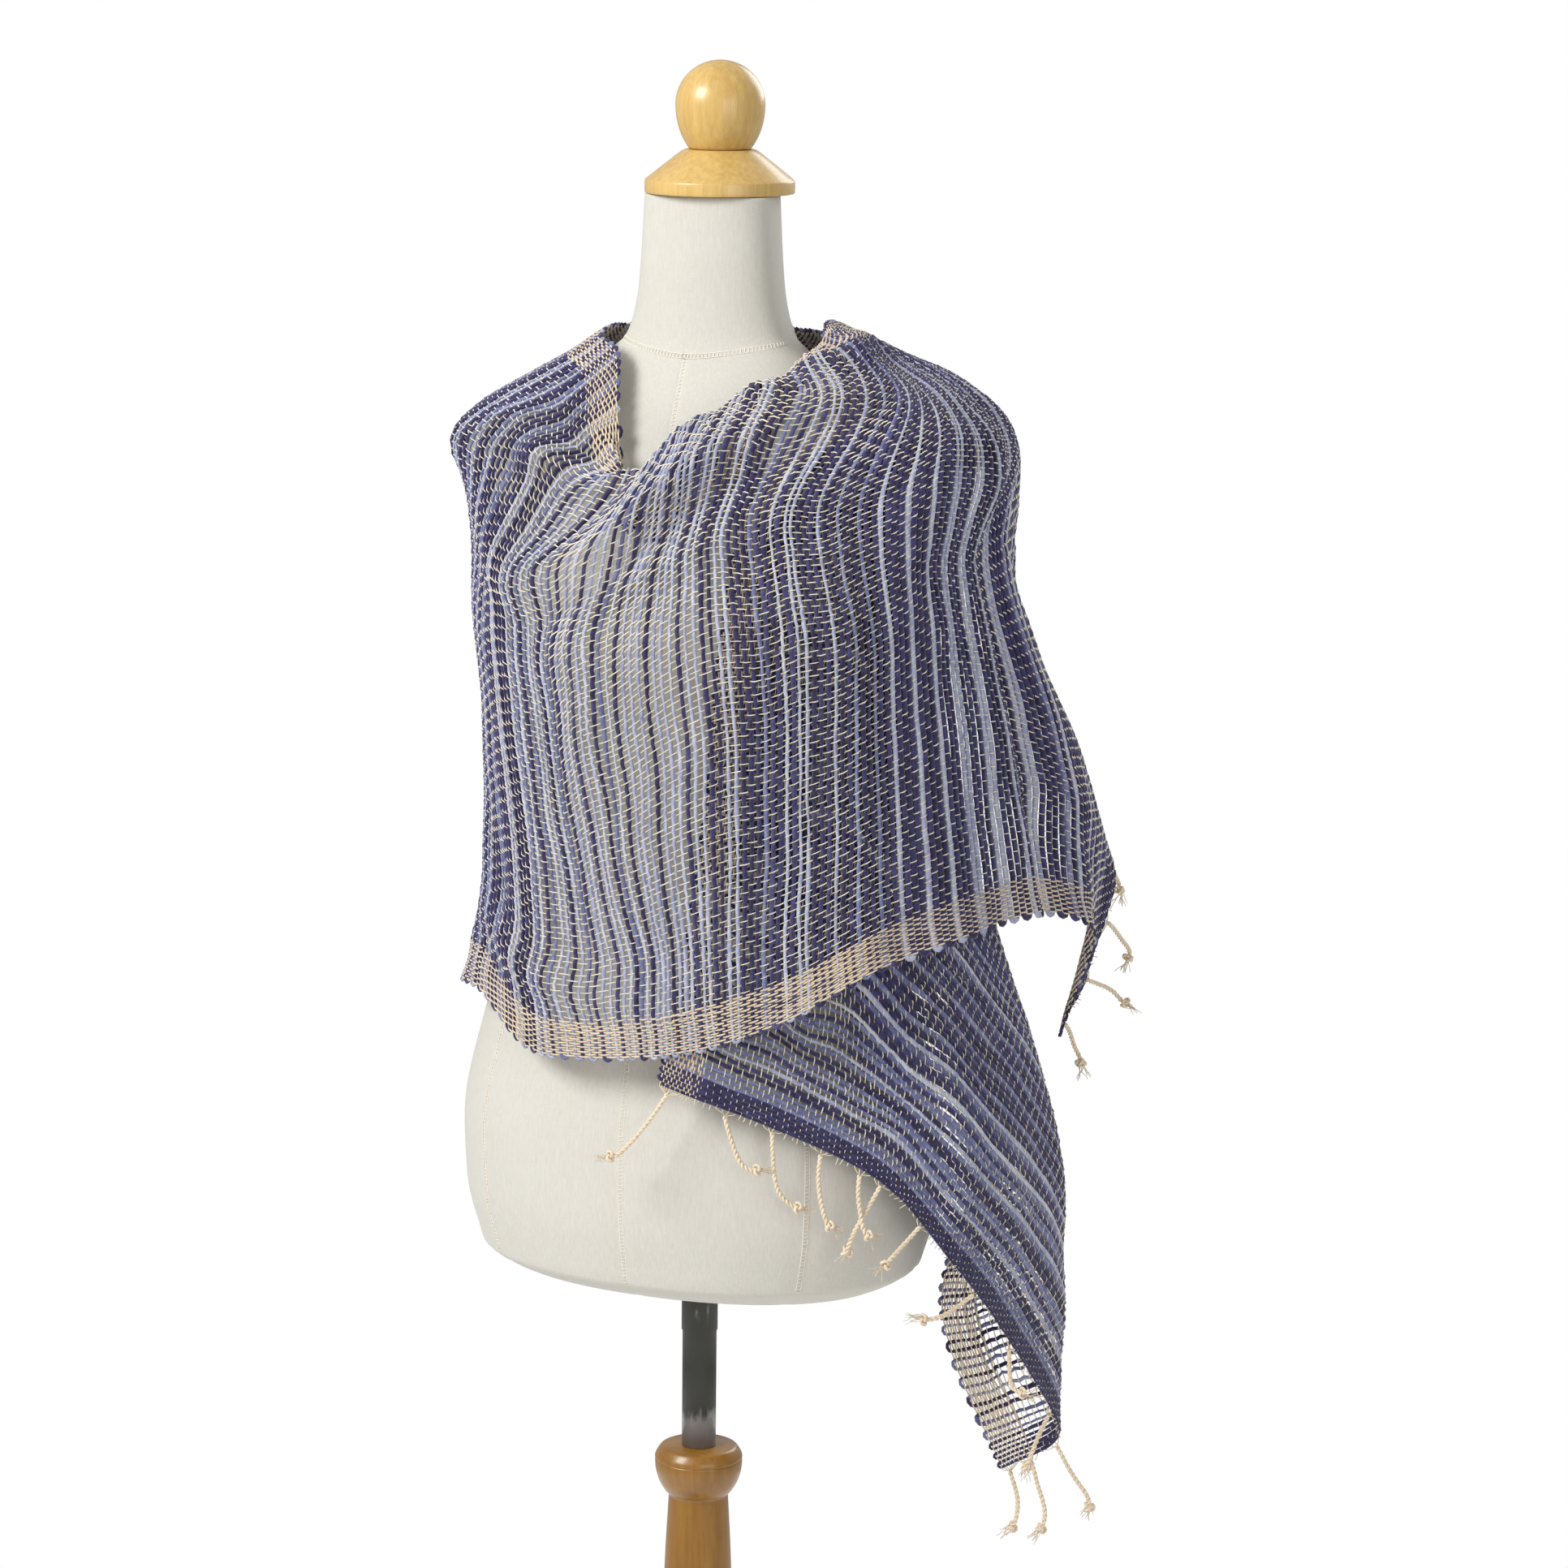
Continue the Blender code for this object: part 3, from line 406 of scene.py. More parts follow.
# %% Weft lines of the wrap, from the left shoulder round the back and over the chest
WRAP_COLUMNS = (
    "top_angle", "chest_angle", "hem_angle", "top_height", "chest_height", "hem_height",
    "top_lift", "mid_lift", "low_lift", "hem_lift", "tuck",
)
PLACE_ACROSS = (0.0, 0.3, 1.0)
LIFT_ACROSS = (0.0, 0.45, 0.8, 1.0)
WRAP_LINES = (
    (102, 100, 110, 1.432, 1.360, 1.055, 0.003, 0.006, 0.014, 0.022, 0.0),
    (126, 121, 126, 1.434, 1.345, 1.025, 0.003, 0.008, 0.018, 0.024, 0.0),
    (152, 146, 145, 1.434, 1.320, 0.992, 0.003, 0.010, 0.020, 0.026, 0.0),
    (178, 172, 168, 1.434, 1.308, 0.972, 0.003, 0.010, 0.020, 0.024, 0.0),
    (204, 199, 193, 1.434, 1.308, 0.962, 0.003, 0.010, 0.016, 0.020, 0.0),
    (228, 223, 218, 1.434, 1.322, 0.962, 0.003, 0.008, 0.012, 0.016, 0.0),
    (246, 244, 242, 1.434, 1.346, 0.968, 0.003, 0.006, 0.008, 0.010, 0.0),
    (264, 263, 266, 1.436, 1.362, 0.976, 0.003, 0.004, 0.005, 0.008, 0.0),
    (288, 279, 290, 1.432, 1.358, 0.984, 0.003, 0.004, 0.005, 0.010, 0.0),
    (312, 293, 310, 1.424, 1.352, 0.988, 0.003, 0.005, 0.006, 0.012, 0.0),
    (328, 309, 331, 1.393, 1.345, 0.962, 0.004, 0.006, 0.008, 0.012, 0.0),
    (343, 327, 349, 1.350, 1.328, 0.960, 0.010, 0.008, 0.010, 0.012, 0.012),
    (353, 348, 366, 1.338, 1.255, 0.964, 0.014, 0.012, 0.012, 0.014, 0.030),
    (369, 371, 381, 1.350, 1.240, 0.970, 0.018, 0.014, 0.014, 0.016, 0.050),
    (387, 390, 395, 1.370, 1.255, 0.980, 0.018, 0.016, 0.018, 0.020, 0.050),
    (408, 408, 409, 1.393, 1.275, 0.997, 0.016, 0.020, 0.028, 0.034, 0.032),
    (428, 425, 425, 1.412, 1.305, 1.025, 0.015, 0.024, 0.040, 0.048, 0.014),
    (444, 441, 442, 1.428, 1.348, 1.044, 0.016, 0.028, 0.056, 0.068, 0.004),
    (456, 455, 459, 1.434, 1.366, 1.046, 0.018, 0.028, 0.070, 0.084, 0.0),
    (468, 466, 472, 1.424, 1.345, 1.000, 0.018, 0.056, 0.122, 0.124, 0.0),
    (478, 477, 479, 1.392, 1.290, 0.925, 0.020, 0.078, 0.152, 0.092, 0.0),
)
TUCK_INWARD = 0.015
TUCK_SHARE = 0.6
TUCK_CLEARANCE = 0.007
TUCK_POINTS = 9
TAIL_CLEARANCE = 0.002
TAIL_OVER_FORM = 0.88

# %% Soft folds, along the cloth or across it
FOLD_COLUMNS = (
    "runs", "start", "middle", "end", "place_a", "place_b", "place_c", "rise", "before", "after",
)
FOLDS = (
    ("along", 14.2, 18, 22.6, 0.36, 0.27, 0.15, 0.014, 0.034, 0.013),
    ("along", 14, 15.4, 17.4, 0.24, 0.15, 0.08, 0.009, 0.016, 0.016),
    ("along", 14.8, 16.2, 17.4, 0.12, 0.09, 0.07, -0.007, 0.010, 0.012),
    ("along", 17.5, 19.6, 22.5, 0.33, 0.37, 0.30, -0.005, 0.014, 0.024),
    ("along", 14.2, 16, 18.4, 0.90, 0.885, 0.92, 0.008, 0.018, 0.014),
    ("along", 22.3, 23.5, 24.6, 0.09, 0.06, 0.07, 0.009, 0.012, 0.014),
    ("across", 0.12, 0.60, 1.0, 23.95, 23.75, 23.85, 0.012, 0.020, 0.014),
    ("across", 0.20, 0.65, 1.0, 24.45, 24.35, 24.45, -0.018, 0.018, 0.022),
    ("across", 0.10, 0.55, 1.0, 21.2, 21.7, 21.9, 0.005, 0.020, 0.022),
    ("across", 0.30, 0.70, 1.0, 19.4, 19.7, 20, 0.004, 0.018, 0.020),
    ("across", 0.35, 0.70, 1.0, 16.4, 16.6, 16.7, 0.004, 0.018, 0.018),
    ("along", 7.2, 9.6, 12.4, 0.16, 0.30, 0.18, 0.010, 0.020, 0.018),
    ("along", 7.6, 9.8, 12, 0.40, 0.52, 0.42, 0.007, 0.024, 0.022),
    ("across", 0.45, 0.75, 1.0, 8.4, 8.2, 8.1, 0.010, 0.022, 0.022),
    ("across", 0.50, 0.80, 1.0, 10.6, 10.5, 10.3, 0.008, 0.024, 0.022),
    ("across", 0.55, 0.80, 1.0, 12.4, 12.3, 12.4, 0.006, 0.018, 0.018),
    ("across", 0.0, 0.18, 0.42, 0.9, 0.8, 0.7, 0.007, 0.022, 0.020),
    ("across", 0.10, 0.28, 0.50, 0.15, 0.15, 0.2, -0.006, 0.020, 0.022),
    ("along", 15.0, 18.5, 23.4, 0.31, 0.24, 0.12, 0.008, 0.026, 0.010),
    ("along", 15.4, 18.5, 22.8, 0.40, 0.31, 0.19, -0.004, 0.008, 0.020),
    ("along", 14.6, 15.6, 17.0, 0.27, 0.17, 0.09, 0.006, 0.012, 0.010),
)
CLOTH_WIDTH = 0.48
LINE_SPACING = 0.065

# %% Curves through the tables
def smooth(places, values, at):
    """A curve through rows of values that never swings past them."""
    places = np.asarray(places, float)
    values = np.asarray(values, float)
    at = np.clip(np.asarray(at, float), places[0], places[-1])
    steps = np.diff(places)
    shape = (-1,) + (1,) * (values.ndim - 1)
    rises = np.diff(values, axis=0) / steps.reshape(shape)
    slopes = np.zeros_like(values)
    before, after = rises[:-1], rises[1:]
    same = before * after > 0
    total = np.where(same, before + after, 1.0)
    slopes[1:-1] = np.where(same, 2 * before * after / total, 0.0)
    slopes[0], slopes[-1] = rises[0], rises[-1]
    index = np.clip(np.searchsorted(places, at, side="right") - 1, 0, len(steps) - 1)
    share_shape = at.shape + (1,) * (values.ndim - 1)
    step = steps[index].reshape(share_shape)
    share = (at - places[index]).reshape(share_shape) / step
    start, end = values[index], values[index + 1]
    out, into = slopes[index] * step, slopes[index + 1] * step
    cubed, squared = share ** 3, share ** 2
    return (
        start * (2 * cubed - 3 * squared + 1)
        + out * (cubed - 2 * squared + share)
        + end * (3 * squared - 2 * cubed)
        + into * (cubed - squared)
    )


def rounded(values, at):
    """A Catmull-Rom curve through evenly counted rows."""
    values = np.asarray(values, float)
    first = 2 * values[:1] - values[1:2]
    last = 2 * values[-1:] - values[-2:-1]
    padded = np.concatenate([first, values, last])
    at = np.clip(np.asarray(at, float), 0, len(values) - 1)
    index = np.clip(at.astype(int), 0, len(values) - 2)
    share = (at - index).reshape(at.shape + (1,) * (values.ndim - 1))
    a, b, c, d = (padded[index + k] for k in range(4))
    return 0.5 * (
        2 * b
        + (c - a) * share
        + (2 * a - 5 * b + 4 * c - d) * share ** 2
        + (3 * b - 3 * c + d - a) * share ** 3
    )


def unit(vectors):
    """The same directions, each of length 1."""
    return vectors / np.linalg.norm(vectors, axis=-1, keepdims=True)


# %% Points on the form and on the space round it
def reach_of(sections, angle, height):
    """How far from the axis a body of level sections reaches."""
    table = np.asarray(sections, float)
    sizes = smooth(table[:, 0], table, height)
    section = {name: sizes[..., k] for k, name in enumerate(SECTION_COLUMNS)}
    turn = np.radians(np.asarray(angle, float) + FRONT_DEG)
    depth = np.where(np.sin(turn) < 0, section["front"], section["back"])
    power = section["squareness"]
    sideways = np.abs(np.cos(turn)) / section["half_width"]
    lengthways = np.abs(np.sin(turn)) / depth
    return (sideways ** power + lengthways ** power) ** (-1 / power)


def placed(angle, height, reach):
    """Points from an angle round the wearer, a height and a reach from the axis."""
    turn = np.radians(np.asarray(angle, float) + FRONT_DEG)
    height = np.broadcast_to(np.asarray(height, float), np.shape(turn))
    return np.stack([reach * np.cos(turn), reach * np.sin(turn), height], axis=-1)


def on_body(sections, angle, height):
    return placed(angle, height, reach_of(sections, angle, height))


NEAR_TURN = 1.0
NEAR_RISE = 0.004


def on_hull(angle, height, lift):
    """A point of the hull, lifted along the hull's own normal."""
    point = on_body(HULL_SECTIONS, angle, height)
    turned = on_body(HULL_SECTIONS, angle + NEAR_TURN, height)
    raised = on_body(HULL_SECTIONS, angle, height + NEAR_RISE)
    return point + unit(np.cross(turned - point, raised - point)) * np.asarray(lift)[..., None]


def lengths_of(points):
    """The length run so far at each point of a polyline."""
    steps = np.linalg.norm(np.diff(points, axis=0), axis=-1)
    return np.concatenate([[0.0], np.cumsum(steps)])


def spread(points, shares):
    """Points at shares of the length of a polyline."""
    run = lengths_of(points)
    return np.stack([np.interp(shares * run[-1], run, points[:, k]) for k in range(3)], axis=-1)


# %% The weft lines as points
SHARES = np.linspace(0.0, 1.0, 47)


def tail_line(row):
    """One weft line of the hanging end, kept clear of the hull where it covers it."""
    part = dict(zip(TAIL_COLUMNS, row))
    angle, height, reach = (smooth(TAIL_ACROSS, part[name], SHARES) for name in TAIL_COLUMNS)
    nearest = reach_of(HULL_SECTIONS, angle, height) + TAIL_CLEARANCE
    reach = np.where(SHARES < TAIL_OVER_FORM, np.maximum(reach, nearest), reach)
    return placed(angle, height, reach)


def tucked_in(edge, angle, tuck):
    """The part that turns in over the top edge and lies down against the neck."""
    edge_reach = float(np.hypot(edge[0], edge[1]))
    depths = np.linspace(tuck, 0.0, TUCK_POINTS)
    angles = np.full(TUCK_POINTS, float(angle))
    heights = edge[2] - depths
    against_form = reach_of(FORM_SECTIONS, angles, heights) + TUCK_CLEARANCE
    inward = min(TUCK_INWARD, tuck * TUCK_SHARE)
    inner = placed(angles, heights, np.maximum(against_form, edge_reach - inward))
    top = (inner[-1] + edge) / 2
    out = (edge - inner[-1]) / 2
    bend = np.linspace(math.pi, 0.0, TUCK_POINTS)[1:-1, None]
    over = top + out * np.cos(bend) + np.array((0.0, 0.0, np.linalg.norm(out))) * np.sin(bend)
    return np.concatenate([inner, over])


def wrap_line(row):
    """One weft line of the wrap, lifted off the hull, with its tuck at the neck."""
    part = dict(zip(WRAP_COLUMNS, row))
    share = np.linspace(0.0, 1.0, 161)
    places = ("top", "chest", "hem")
    angle = smooth(PLACE_ACROSS, [part[f"{place}_angle"] for place in places], share)
    height = smooth(PLACE_ACROSS, [part[f"{place}_height"] for place in places], share)
    lifts = [part[f"{place}_lift"] for place in ("top", "mid", "low", "hem")]
    lift = smooth(LIFT_ACROSS, lifts, share)
    path = on_hull(angle, height, lift)
    if part["tuck"] > 0:
        path = np.concatenate([tucked_in(path[0], part["top_angle"], part["tuck"]), path])
    return spread(path, SHARES)


LINES = np.stack([tail_line(row) for row in TAIL_LINES] + [wrap_line(row) for row in WRAP_LINES])
LAST_LINE = len(LINES) - 1
print("Weft lines:", len(LINES))

# %% The cloth's middle surface
def bare_cloth(line, across):
    """Points of the cloth before its soft folds, for arrays of the same shape."""
    by_line = rounded(LINES, line)
    where = across * (len(SHARES) - 1)
    index = np.clip(where.astype(int), 0, len(SHARES) - 2)
    share = (where - index)[..., None]
    low = np.take_along_axis(by_line, index[..., None, None], axis=-2)[..., 0, :]
    high = np.take_along_axis(by_line, index[..., None, None] + 1, axis=-2)[..., 0, :]
    return low + (high - low) * share


def fold_rise(line, across):
    """How far the soft folds lift the cloth there."""
    total = np.zeros(line.shape)
    for row in FOLDS:
        fold = dict(zip(FOLD_COLUMNS, row))
        along = fold["runs"] == "along"
        run, side = (line, across) if along else (across, line)
        scale = CLOTH_WIDTH if along else LINE_SPACING
        stops = [fold[name] for name in ("start", "middle", "end")]
        place = smooth(stops, [fold[f"place_{name}"] for name in "abc"], run)
        off = (side - place) * scale
        spread_to = np.where(off < 0, fold["before"], fold["after"])
        share = np.clip((run - stops[0]) / (stops[2] - stops[0]), 0.0, 1.0)
        open_end = stops[2] >= 1.0 and not along
        fade = np.sin(np.pi * share * (0.5 if open_end else 1.0)) ** 1.2
        total += fold["rise"] * fade * np.exp(-((off / spread_to) ** 2))
    return total


def cloth_at(line, across):
    """Points of the cloth's middle surface with its folds."""
    line, across = np.broadcast_arrays(np.asarray(line, float), np.asarray(across, float))
    step = 0.02
    before, after = np.maximum(line - step, 0.0), np.minimum(line + step, LAST_LINE)
    above, below = np.maximum(across - step, 0.0), np.minimum(across + step, 1.0)
    along = bare_cloth(after, across) - bare_cloth(before, across)
    down = bare_cloth(line, below) - bare_cloth(line, above)
    outward = unit(np.cross(down, along))
    return bare_cloth(line, across) + outward * fold_rise(line, across)[..., None]


# %% [markdown]
# A loom fixes two counts. The cream warp ends run the whole length of the cloth, about
# 4 mm apart in the middle and packed close in a border at each long edge. The thick dyed
# weft runs to and fro across them, about 5 mm from pick to pick and nearer 4 mm on the
# thrown end, and is beaten close at both short ends. With the two counts settled, every
# crossing has a place on the surface.

# %% Where the warp ends and the picks lie
WARP_PITCH = 4.1 * MM
BORDER_PITCH = 1.75 * MM
BORDER_ENDS = 15
PITCH_LINES = (0.0, 0.16, 0.3, 1.2, 1.8, 17.0, 18.0, 22.0, 23.4, 25.3, 26.0)
PICK_PITCHES = (2.7, 2.8, 5.3, 5.3, 5.1, 5.1, 4.9, 4.9, 3.8, 3.8, 3.1)
END_PICKS = 7

border_width = BORDER_ENDS * BORDER_PITCH
middle_width = CLOTH_WIDTH - 2 * border_width
middle_ends = round(middle_width / WARP_PITCH)
gaps = np.concatenate([
    np.full(BORDER_ENDS, BORDER_PITCH),
    np.full(middle_ends, middle_width / middle_ends),
    np.full(BORDER_ENDS, BORDER_PITCH),
])
warp_places = (np.cumsum(gaps) - gaps / 2) / gaps.sum()

sample_lines = np.linspace(0.0, LAST_LINE, 521)
sample_across = np.linspace(0.1, 0.9, 7)
sample = cloth_at(sample_lines[:, None], sample_across[None, :])
length_run = np.mean([lengths_of(sample[:, k]) for k in range(len(sample_across))], axis=0)
cloth_length = float(length_run[-1])
picks_per_metre = 1.0 / (np.interp(sample_lines, PITCH_LINES, PICK_PITCHES) * MM)
steps = np.diff(length_run) * (picks_per_metre[1:] + picks_per_metre[:-1]) / 2
pick_count = np.concatenate([[0.0], np.cumsum(steps)])
pick_lines = np.interp(np.arange(int(pick_count[-1])) + 0.5, pick_count, sample_lines)
print(
    f"Cloth {CLOTH_WIDTH:.2f} x {cloth_length:.2f} m,",
    f"{len(warp_places)} ends, {len(pick_lines)} picks",
)

# %% [markdown]
# Hand-spun yarn is never even. Smooth random curves, drawn from one seeded generator,
# thicken and thin each pick, push it to and fro a little and let the warp ends wander.

# %% Uneven yarn
SEED = 7
random = np.random.default_rng(SEED)


def wander(count, length, spacing):
    """Rows of smooth random values of about unit size, with a knot every few steps."""
    knots = max(4, int(length / spacing) + 2)
    values = random.normal(0.0, 1.0, (count, knots))
    return rounded(values.T, np.linspace(0.0, knots - 1.0, length)).T


def uneven(count, length, *layers):
    """Wander at several scales: each layer gives its knots' spacing and its share."""
    return sum(wander(count, length, spacing) * share for spacing, share in layers)


def field(rows, columns, row_knots, column_knots):
    """A sheet of smooth random values, alike for neighbouring yarns."""
    knots = random.normal(0.0, 1.0, (row_knots, column_knots))
    along = rounded(knots, np.linspace(0.0, row_knots - 1.0, rows))
    return rounded(along.T, np.linspace(0.0, column_knots - 1.0, columns)).T


PICKS = len(pick_lines)
ENDS = len(warp_places)
LINES_PER_METRE = LAST_LINE / cloth_length
SWAY = 0.60 * MM
KINK = 0.38 * MM
DRIFT = 1.4 * MM
SLIP = 0.55 * MM
SLUB = 0.16
SLUB_LIMITS = (0.62, 1.45)
PICK_TO_PICK = 0.07
CLOSE_PITCHES = (3.0, 5.3)
CLOSE_SLUB = (0.90, 1.0)
EDGE_HOLD = 0.15
LOOSE_LINES = (21.0, 22.4, 25.0)
LOOSE_SHARES = (1.0, 0.55, 0.55)
over = np.where((np.arange(PICKS)[:, None] + np.arange(ENDS)[None, :]) % 2 == 0, 1.0, -1.0)
from_edge = np.minimum(np.arange(ENDS), np.arange(ENDS)[::-1])
loose = np.clip(from_edge / BORDER_ENDS, EDGE_HOLD, 1.0)[None, :]
loose = loose * np.interp(pick_lines, LOOSE_LINES, LOOSE_SHARES)[:, None]
sway = uneven(PICKS, ENDS, (9, 0.7), (3, 0.4)) * SWAY
drift = field(PICKS, ENDS, 30, 14) * DRIFT
kink = over * KINK * (0.6 + 0.4 * wander(PICKS, ENDS, 4))
pick_shift = (sway + drift + kink) * loose * LINES_PER_METRE
warp_shift = uneven(ENDS, PICKS, (7, 0.8), (2, 0.3)).T * SLIP / CLOTH_WIDTH
slub = 1.0 + SLUB * uneven(PICKS, ENDS, (6, 0.8), (2, 0.4))
pick_size = 1.0 + PICK_TO_PICK * random.normal(0.0, 1.0, (PICKS, 1))
slub = np.clip(slub * pick_size, *SLUB_LIMITS)
pitch_here = np.interp(pick_lines, PITCH_LINES, PICK_PITCHES)[:, None]
slub = slub * np.interp(pitch_here, CLOSE_PITCHES, CLOSE_SLUB)
print(f"Yarn thickness from {slub.min():.2f} to {slub.max():.2f} of its usual size")

# %% [markdown]
# Handling pulls a soft weave out of square. Over the rolled neckline the picks lean, near
# the hem a snag has drawn them aside, and on the thrown end the warp runs a little skew. All
# are small tables: where, and how far. The warp ends are spaced by the cloth's true width
# at each pick, because the tables stretch where the cloth folds back on itself.

# %% Lean and pulls
LEAN_LINES = (15.2, 17.0, 18.4, 19.8, 22.0, 23.4, 25.0)
LEAN_BY = (0.0, 0.45, 1.05, 1.30, 1.20, 0.65, 0.0)
LEAN_ACROSS = (0.10, 0.34)
PULL_COLUMNS = ("line", "across", "shift", "size_along", "size_across")
PULLS = (
    (18.1, 0.865, 7.0, 55.0, 26.0),
    (17.0, 0.930, -5.0, 50.0, 26.0),
    (1.6, 0.20, 5.0, 60.0, 22.0),
    (1.6, 0.30, -6.0, 60.0, 24.0),
    (2.4, 0.42, 5.0, 60.0, 30.0),
    (20.2, 0.70, 4.0, 60.0, 60.0),
    (14.6, 0.55, 4.0, 60.0, 50.0),
    (9.4, 0.62, -5.0, 70.0, 60.0),
)


def pulled(lines, across):
    """How far picks are drawn along the cloth there, counted in lines."""
    start, end = LEAN_ACROSS
    share = np.clip((end - across) / (end - start), 0.0, 1.0)
    total = np.interp(lines, LEAN_LINES, LEAN_BY) * share * share * (3 - 2 * share)
    for row in PULLS:
        pull = dict(zip(PULL_COLUMNS, row))
        along = (lines - pull["line"]) / LINES_PER_METRE / MM / pull["size_along"]
        sideways = (across - pull["across"]) * CLOTH_WIDTH / MM / pull["size_across"]
        shift = pull["shift"] * MM * LINES_PER_METRE
        total = total + shift * np.exp(-along ** 2 - sideways ** 2)
    return total


SKEW = 0.14
SKEW_LINES = (17.6, 22.9, 25.2, 26.0)
SKEW_SIDES = (0.0, -0.5, 0.5, 0.35)
EDGE_FADE = 0.5
RULER_POINTS = 61
sideways_by = SKEW * np.interp(pick_lines, SKEW_LINES, SKEW_SIDES)[:, None]
skewed = sideways_by * np.sin(np.pi * warp_places) ** 2
width_places = np.clip(warp_places[None, :] + warp_shift * loose + skewed, 0.0, 1.0)
ruler = np.linspace(0.0, 1.0, RULER_POINTS)
widths = [lengths_of(row) for row in cloth_at(pick_lines[:, None], ruler[None, :])]
grid_across = np.stack([
    np.interp(row * width[-1], width, ruler) for row, width in zip(width_places, widths)
])
straight_lines = pick_lines[:, None] + np.zeros((1, ENDS))
from_end = np.minimum(straight_lines, LAST_LINE - straight_lines)
edge_fade = np.clip(from_end / EDGE_FADE, 0.0, 1.0)
shift = (pick_shift + pulled(straight_lines, grid_across)) * edge_fade
grid_lines = np.clip(straight_lines + shift, 0.0, LAST_LINE)
crossings = cloth_at(grid_lines, grid_across)
along_cloth = np.gradient(crossings, axis=0)
across_cloth = np.gradient(crossings, axis=1)
outward = unit(np.cross(across_cloth, along_cloth))
RIPPLE = 0.7 * MM
crossings = crossings + outward * (field(PICKS, ENDS, 60, 18) * RIPPLE)[..., None]
print("Crossings:", crossings.shape[0] * crossings.shape[1])

# %% [markdown]
# The weaver changed colour every few picks. The stripes are drawn by rule: along the cloth
# a short table gives how many picks are dark, middle or pale, and each run of one to three
# picks takes one of them at random. Both short ends finish in dark indigo. The table also
# paints shade. Under the front panel, from line 3.2 to 6, it makes the picks mostly dark:
# this is painted shade for the layer that is seen in shade through the gaps. From line 1.5
# to 3.2 the long dark runs are partly the dye and partly painted shade on the hanging end.

# %% The dye of each pick, with painted shade
STRIPE_COLUMNS = ("line", "dark_run", "light_run", "pale_share")
# From line 1.5 to 6 the long dark runs are painted shade: mostly so from 3.2 to 6, under the front
# panel, and partly so from 1.5 to 3.2, where the dye is dark as well.
STRIPE_AND_SHADE_ZONES = (
    (0.0, 0.9, 2.2, 0.40),
    (1.1, 0.9, 2.2, 0.40),
    (1.5, 2.6, 1.3, 0.30),
    (2.6, 3.2, 1.2, 0.30),
    (3.2, 5.5, 0.8, 0.20),
    (6.0, 4.5, 1.0, 0.40),
    (9.0, 3.0, 1.8, 0.50),
    (14.0, 3.2, 2.2, 0.50),
    (16.2, 2.6, 2.4, 0.60),
    (17.4, 1.3, 2.4, 0.70),
    (19.8, 1.5, 2.2, 0.75),
    (20.5, 2.6, 1.2, 0.85),
    (22.8, 2.6, 1.2, 0.85),
    (23.6, 3.2, 1.5, 0.60),
    (26.0, 3.2, 1.5, 0.50),
)
DARK, MIDDLE, PALE = 0.12, 0.50, 0.80
END_DYE = 0.08
DYE_JITTER = 0.05
DARK_RUN_JITTER = 0.7
LIGHT_RUN_JITTER = 0.5


def dye_and_painted_shade_of_picks():
    """The dye of every pick, by turns a dark run and a lighter one, with painted shade in some
    dark runs.
    """
    zones = dict(zip(STRIPE_COLUMNS, zip(*STRIPE_AND_SHADE_ZONES)))
    dyes_and_shade = []
    while len(dyes_and_shade) < PICKS:
        here = {
            name: np.interp(pick_lines[len(dyes_and_shade)], zones["line"], zones[name])
            for name in STRIPE_COLUMNS[1:]
        }
        dark_picks = max(1, round(here["dark_run"] + random.normal(0.0, DARK_RUN_JITTER)))
        light_picks = max(1, round(here["light_run"] + random.normal(0.0, LIGHT_RUN_JITTER)))
        dyes_and_shade += [DARK + random.normal(0.0, DYE_JITTER) for _ in range(dark_picks)]
        kinds = random.random(light_picks) < here["pale_share"]
        dyes_and_shade += [(PALE if pale else MIDDLE) + random.normal(0.0, DYE_JITTER) for pale in kinds]
    dyes_and_shade = np.array(dyes_and_shade[:PICKS])
    dyes_and_shade[:END_PICKS - 1] = END_DYE
    dyes_and_shade[1 - END_PICKS:] = END_DYE
    return dyes_and_shade


# Each pick's dye, with the painted shade of its long dark runs.
pick_dyes_and_shade = dye_and_painted_shade_of_picks()
print("Dark picks:", int((pick_dyes_and_shade < 0.3).sum()), "pale picks:", int((pick_dyes_and_shade > 0.7).sum()))

# %% [markdown]
# One function turns rows of centre points into tubes. It keeps each ring square to its
# yarn, closes both ends, and lays the faces out in strips for the colour map: one strip
# for each pick or warp end, so that the baked picture keeps every yarn apart.

# %% Tubes along rows of points
STRIP_FILL = 0.9


def side_faces(first, sides):
    """Quads between rings of points and the rings after them."""
    now = np.arange(sides)[None, :]
    after = (now + 1) % sides
    return np.stack([first + now, first + after, first + sides + after, first + sides + now], -1)


